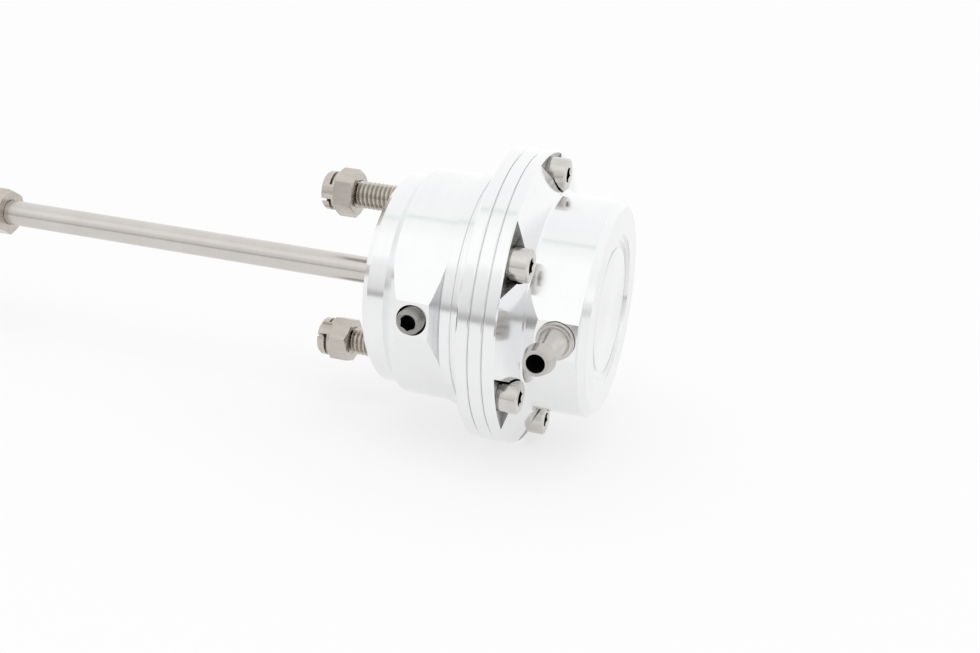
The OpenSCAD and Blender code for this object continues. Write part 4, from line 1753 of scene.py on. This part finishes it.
    def bush(self) -> Piece:
        """The rod's bronze guide in the front wall.

        Returns:
            The piece.
        """
        flange = self.wall_x + self.bush_flange_t
        inner = self.rod_r + self.clearance
        return turned("rod_guide", [
            (self.bush_x, inner, 0.1),
            (self.bush_x, self.bush_r, 0.1),
            (self.wall_x, self.bush_r, 0),
            (self.wall_x, self.bush_flange_r, 0.15),
            (flange, self.bush_flange_r, 0.15),
            (flange, inner, 0.1),
        ], Steps.FITTING)

    def seal(self) -> Piece:
        """The lip seal in front of the guide.

        Returns:
            The piece.
        """
        inner = self.rod_r + self.clearance
        return turned("rod_lip_seal", [
            (self.seal_x + 0.5, inner + 0.5, 0.15),
            (self.seal_x, inner + 1.0, 0.12),
            (self.seal_x, self.bush_r, 0.15),
            (self.bush_x, self.bush_r, 0),
            (self.bush_x, inner + 0.4, 0),
            (self.seal_x + 1.6, inner, 0.1),
            (self.seal_x + 0.8, inner, 0.1),
        ], Steps.FITTING)


def plain_nut(name: str, x0: float, x1: float, across_flats: float, bore_r: float) -> Piece:
    """A plain six-sided nut with turned corners, on the axis.

    Args:
        name: Name of the piece.
        x0: Where it starts, in millimetres.
        x1: Where it ends.
        across_flats: Its width across the flats.
        bore_r: Radius of its thread.

    Returns:
        The nut.
    """
    corner, flat = across_flats / math.sqrt(3), across_flats / 2
    piece = prism(name, hexagon(across_flats), x0, x1)
    break_edges(piece, width=0.12, angle=50)
    combine(piece, lathe("nut_trim", [
        (x0, 0, 0),
        (x0, flat - 0.05, 0.1),
        (x0 + 0.5, corner + 0.05, 0),
        (x1 - 0.5, corner + 0.05, 0),
        (x1, flat - 0.05, 0.1),
        (x1, 0, 0),
    ], Steps.FITTING), Join.KEEP)
    combine(piece, lathe("nut_bore", [
        (x0 - OVER, 0, 0),
        (x0 - OVER, bore_r + 1.4, 0),
        (x0 + 0.4, bore_r, 0),
        (x1 - 0.4, bore_r, 0),
        (x1 + OVER, bore_r + 1.4, 0),
        (x1 + OVER, 0, 0),
    ], Steps.SMALL), Join.CUT)
    smooth(piece)
    return piece


@dataclass
class SpringPack(Actuator):
    """What works inside: springs, seat, piston, plate, diaphragm, washer and nut."""

    seat_t: float = 1.2
    seat_r: float = 15.7
    pilot_r: float = 7.5
    pilot_h: float = 1.6
    seat_hole_r: float = 6.7
    stroke: float = 12.0
    skirt_x: float = 19.7
    crown_x: float = 35.07
    crown_top_x: float = 38.07
    plate_x: float = 38.87
    washer_x: float = 40.47
    nut_top_x: float = 44.27
    piston_r: float = 17.2
    skirt_t: float = 1.2
    hub_r: float = 6.6
    plate_r: float = 15.5
    washer_r: float = 5.0
    nut_af: float = 8.0
    sheet_t: float = 0.8
    fold_gap: float = 0.1

    def build(self, finishes: Finishes) -> None:
        """Builds the inner pieces.

        Args:
            finishes: The finishes to use.
        """
        dress(self.seat(), finishes.hardware, Slot.STAINLESS, Body.HOUSING, "spring_seat")
        dress(self.piston(), finishes.piston, Slot.PISTON, Body.ROD, "piston")
        dress(self.plate(), finishes.piston, Slot.PISTON, Body.ROD, "diaphragm_plate")
        dress(self.washer(), finishes.hardware, Slot.STAINLESS, Body.ROD, "piston_washer")
        nut = plain_nut("top_nut", self.nut_x, self.nut_top_x, self.nut_af, self.neck_thread_r)
        dress(nut, finishes.hardware, Slot.STAINLESS, Body.ROD, "piston_nut")
        for node, name in (("outer_spring", "spring_outer"), ("inner_spring", "spring_inner")):
            spring = self.spring(node, name)
            dress(spring, finishes.spring, Slot.SPRING, Body.HOUSING, node)
            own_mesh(spring)
        skin = self.diaphragm()
        dress(skin, finishes.diaphragm, Slot.DIAPHRAGM, None, "diaphragm")
        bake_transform(skin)

    def seat(self) -> Piece:
        """The washer that the springs stand on.

        Returns:
            The piece.
        """
        top = self.wall_x + self.seat_t
        return turned("seat_washer", [
            (self.wall_x, self.seat_hole_r, 0.1),
            (self.wall_x, self.seat_r, 0.2),
            (top, self.seat_r, 0.2),
            (top, self.pilot_r, 0.2),
            (top + self.pilot_h, self.pilot_r, 0.2),
            (top + self.pilot_h, self.seat_hole_r, 0.1),
        ], Steps.BALL)

    def piston(self) -> Piece:
        """The piston with its skirt and hub.

        Returns:
            The piece.
        """
        inner = self.piston_r - self.skirt_t
        return turned("piston_cup", [
            (self.hub_x, self.neck_r, 0.1),
            (self.hub_x, self.hub_r, 0.3),
            (self.crown_x, self.hub_r, 0.4),
            (self.crown_x, inner, 0.6),
            (self.skirt_x, inner, 0.2),
            (self.skirt_x, self.piston_r, 0.3),
            (self.crown_top_x, self.piston_r, 0.5),
            (self.crown_top_x, self.neck_r, 0.1),
        ], Steps.DISC)

    def plate(self) -> Piece:
        """The plate that clamps the diaphragm.

        Returns:
            The piece.
        """
        return turned("clamp_plate", [
            (self.plate_x, self.neck_r, 0.05),
            (self.plate_x, self.plate_r, 0.3),
            (self.washer_x - 0.5, self.plate_r, 0.15),
            (self.washer_x, self.plate_r - 0.5, 0.15),
            (self.washer_x, self.neck_r, 0.05),
        ], Steps.DISC)

    def washer(self) -> Piece:
        """The plain washer under the nut.

        Returns:
            The piece.
        """
        return turned("plain_washer", [
            (self.washer_x, self.neck_r, 0.08),
            (self.washer_x, self.washer_r, 0.15),
            (self.nut_x, self.washer_r, 0.15),
            (self.nut_x, self.neck_r, 0.08),
        ], Steps.FITTING)

    def spring(self, node: str, name: str) -> Piece:
        """A spring with a round wire, made from its packed coil.

        Args:
            node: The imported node.
            name: Name of the piece.

        Returns:
            The spring.
        """
        piece = from_node(node, name)
        rounder = piece.modifiers.new("round", "SUBSURF")
        rounder.levels = rounder.render_levels = 1
        apply(piece, rounder)
        pick(piece)
        bpy.ops.object.shade_smooth_by_angle(angle=math.radians(50))
        return piece

    def diaphragm(self) -> Piece:
        """The rolling diaphragm: bead, flat rim, fold, sleeve and disc.

        Returns:
            The piece.
        """
        outer, inner = self.bore_r - self.fold_gap, self.piston_r + self.fold_gap
        middle, radius = (outer + inner) / 2, (outer - inner) / 2
        fold_x = self.seam_x - radius
        t = self.sheet_t
        top = self.crown_top_x
        corners: Outline = [
            (top, self.neck_r + 0.1, 0),
            (top, inner, 0.3),
        ]
        arc = [math.pi * k / 16 for k in range(17)]
        corners += [(fold_x - radius * math.sin(a), middle - radius * math.cos(a), 0) for a in arc]
        corners += [
            (self.seam_x - 0.05, outer, 0.2),
            (self.seam_x, self.bead_inner_r, 0.1),
            (self.seam_x - self.bead_h, self.bead_inner_r, 0.2),
            (self.seam_x - self.bead_h, self.bead_outer_r, 0.3),
            (self.seam_x + t, self.bead_outer_r, 0.2),
            (self.seam_x + t, outer - t, 0.5),
        ]
        small = radius - t
        corners += [(fold_x - small * math.sin(a), middle + small * math.cos(a), 0) for a in arc]
        corners += [
            (top + t, inner + t, 0.6),
            (top + t, self.neck_r + 0.1, 0),
        ]
        return turned("rolling_diaphragm", corners, Steps.DISC, angle=45)


# ---------------------------------------------------------------- studio


@dataclass(frozen=True)
class Tone:
    """A light level of the studio at a reflected elevation."""

    elevation: float
    level: Triple


@dataclass
class Studio:
    """Floor, light and camera."""

    eye: Triple = (0.097112, -0.254993, 0.081938)
    right: Triple = (0.949282, 0.306367, 0.07073)
    down: Triple = (0.162639, -0.28592, -0.944351)
    ahead: Triple = (-0.269094, 0.907959, -0.321246)
    focal_px: float = 1271.7187
    picture_w: float = 980.0
    sensor: float = 36.0
    floor_z: float = -31.9
    floor_drop: float = 0.00005
    floor_size: tuple[float, float] = (2.4, 1.6)
    floor_near_y: float = -0.2
    fade_centre: Triple = (0.03, 0.0, 0.0)
    fade_squash: Triple = (0.55, 1.0, 0.0)
    fade_start: float = 0.06
    fade_end: float = 0.17
    lamp_at: Triple = (0.05, -0.25, 0.75)
    lamp_size: tuple[float, float] = (0.8, 0.5)
    lamp_power: float = 1.2
    near: Triple = (0.0, -0.9744, -0.2250)
    up: Triple = (0.0, -0.2250, 0.9744)
    backdrop: Triple = (0.985, 0.985, 0.985)
    floor: Triple = (0.92, 0.92, 0.92)
    ambient: float = 0.95
    metal: float = 0.87
    shade: float = 0.34

    def tones(self) -> list[Tone]:
        """Light levels from the near floor, over the top, to the far floor.

        Returns:
            The tones, in order.
        """
        measured = (
            (-180, 0.95), (-60, 0.95), (-10, 0.91), (-2, 0.89), (2.5, 0.84), (4.2, 0.78),
            (5.2, 0.40), (7.5, 0.41), (10, 0.50), (12.5, 0.67), (17.5, 0.72), (27.5, 0.785),
            (37.5, 0.82), (43, 0.85), (46, 0.90), (48, 0.96), (52, 0.975), (72, 0.975),
            (76, 0.955), (82, 0.93), (90.8, 0.905),
        )
        grey = [Tone(angle, (level, level, level)) for angle, level in measured]
        green = (0.70, 0.80, 0.765)
        return grey + [
            Tone(91.9, green),
            Tone(93.9, green),
            Tone(95.1, (0.905, 0.905, 0.90)),
            Tone(110, (0.90, 0.90, 0.905)),
            Tone(180, (0.95, 0.95, 0.95)),
        ]

    def build(self) -> None:
        """Sets the studio up."""
        scene = bpy.context.scene
        scene.view_settings.view_transform = "Standard"
        self.camera(scene)
        self.world(scene)
        self.ground()
        self.lamp()

    def camera(self, scene: bpy.types.Scene) -> None:
        """Places the camera at the photograph's viewing angle.

        Args:
            scene: The scene.
        """
        data = bpy.data.cameras.new("camera")
        data.sensor_width = self.sensor
        data.lens = self.focal_px * self.sensor / self.picture_w
        data.clip_start, data.clip_end = 0.01, 20.0
        camera = bpy.data.objects.new("camera", data)
        scene.collection.objects.link(camera)
        axes = Matrix((Vector(self.right), -Vector(self.down), -Vector(self.ahead)))
        camera.matrix_world = Matrix.Translation(self.eye) @ axes.transposed().to_4x4()
        scene.camera = camera

    def world(self, scene: bpy.types.Scene) -> None:
        """Makes the world: a studio for reflections, plain white for the rest.

        Args:
            scene: The scene.
        """
        world = bpy.data.worlds.new("studio")
        scene.world = world
        g = Graph(world, "OutputWorld")
        way = g.add("TexCoord").outputs["Generated"]
        angle = g.math("ARCTAN2", *(g.vector("DOT_PRODUCT", way, d) for d in (self.up, self.near)))
        share = g.spread(angle, -math.pi, math.pi, 0.0, 1.0)
        ramp = g.add("ValToRGB", {0: share})
        self.fill(ramp.color_ramp)
        path = g.add("LightPath")
        lit = g.blend(path.outputs["Is Glossy Ray"], rgba((self.ambient,) * 3), ramp.outputs[0])
        seen = g.blend(path.outputs["Is Camera Ray"], lit, rgba(self.backdrop))
        g.surface(g.add("Background", {0: seen, 1: 1.0}))

    def fill(self, ramp: bpy.types.ColorRamp) -> None:
        """Sets the tones on a ramp that runs once round, from the near floor to the far one.

        Args:
            ramp: The ramp, with its two first stops.
        """
        first, *others, _ = self.tones()
        ends = rgba(tuple(c / self.metal for c in first.level))
        for element, position in zip(ramp.elements, (0.0, 1.0)):
            element.position, element.color = position, ends
        for tone in others:
            element = ramp.elements.new(tone.elevation / 360 + 0.5)
            element.color = rgba(tuple(c / self.metal for c in tone.level))

    def ground(self) -> None:
        """Makes the floor, which fades into the backdrop."""
        deselect()
        bpy.ops.mesh.primitive_grid_add(x_subdivisions=8, y_subdivisions=8, size=1.0)
        floor = named("floor")
        for vertex in floor.data.vertices:
            x, y = vertex.co.x, vertex.co.y
            y_there = (y + 0.5) * self.floor_size[1] + self.floor_near_y
            vertex.co = (x * self.floor_size[0], y_there, self.floor_z * MM - self.floor_drop)
        g = Graph(bpy.data.materials.new("pale_floor"))
        flat = g.vector("MULTIPLY", g.vector("ADD", g.place(), self.fade_centre), self.fade_squash)
        reach = g.vector("LENGTH", flat)
        fade = g.spread(reach, self.fade_start, self.fade_end, 1 - self.shade, 1.0, "SMOOTHSTEP")
        mottle = g.noise(g.place(), 30.0, 3.0)
        tint = g.blend(mottle, rgba(self.floor), rgba(tuple(c * 0.985 for c in self.floor)))
        lit = g.add("BsdfDiffuse", {"Color": tint})
        glow = g.add("Emission", {"Color": rgba(self.backdrop), "Strength": 1.0})
        path = g.add("LightPath")
        seen = g.math("MAXIMUM", path.outputs["Is Camera Ray"], path.outputs["Is Glossy Ray"])
        share = g.math("MULTIPLY", fade, seen)
        g.surface(g.add("MixShader", {0: share, 1: lit.outputs[0], 2: glow.outputs[0]}))
        floor.data.materials.append(g.owner)

    def lamp(self) -> None:
        """Hangs one soft lamp above, for the shadow only."""
        data = bpy.data.lights.new("soft_top", "AREA")
        data.shape = "RECTANGLE"
        data.size, data.size_y = self.lamp_size
        data.energy = self.lamp_power
        lamp = bpy.data.objects.new("soft_top", data)
        bpy.context.scene.collection.objects.link(lamp)
        lamp.location = self.lamp_at
        lamp.rotation_euler = (-Vector(lamp.location)).to_track_quat("-Z", "Y").to_euler()
        lamp.visible_glossy = False


def main() -> None:
    """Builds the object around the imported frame."""
    logging.basicConfig(level=logging.INFO, format="%(name)s %(message)s")
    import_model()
    finishes = Finishes()
    for assembly in (Housing(), FlangeJoint(), Cap(), Mounting(), RodLine(), SpringPack()):
        assembly.build(finishes)
        LOG.info("built %s", type(assembly).__name__)
    Studio().build()


if __name__ == "__main__":
    main()
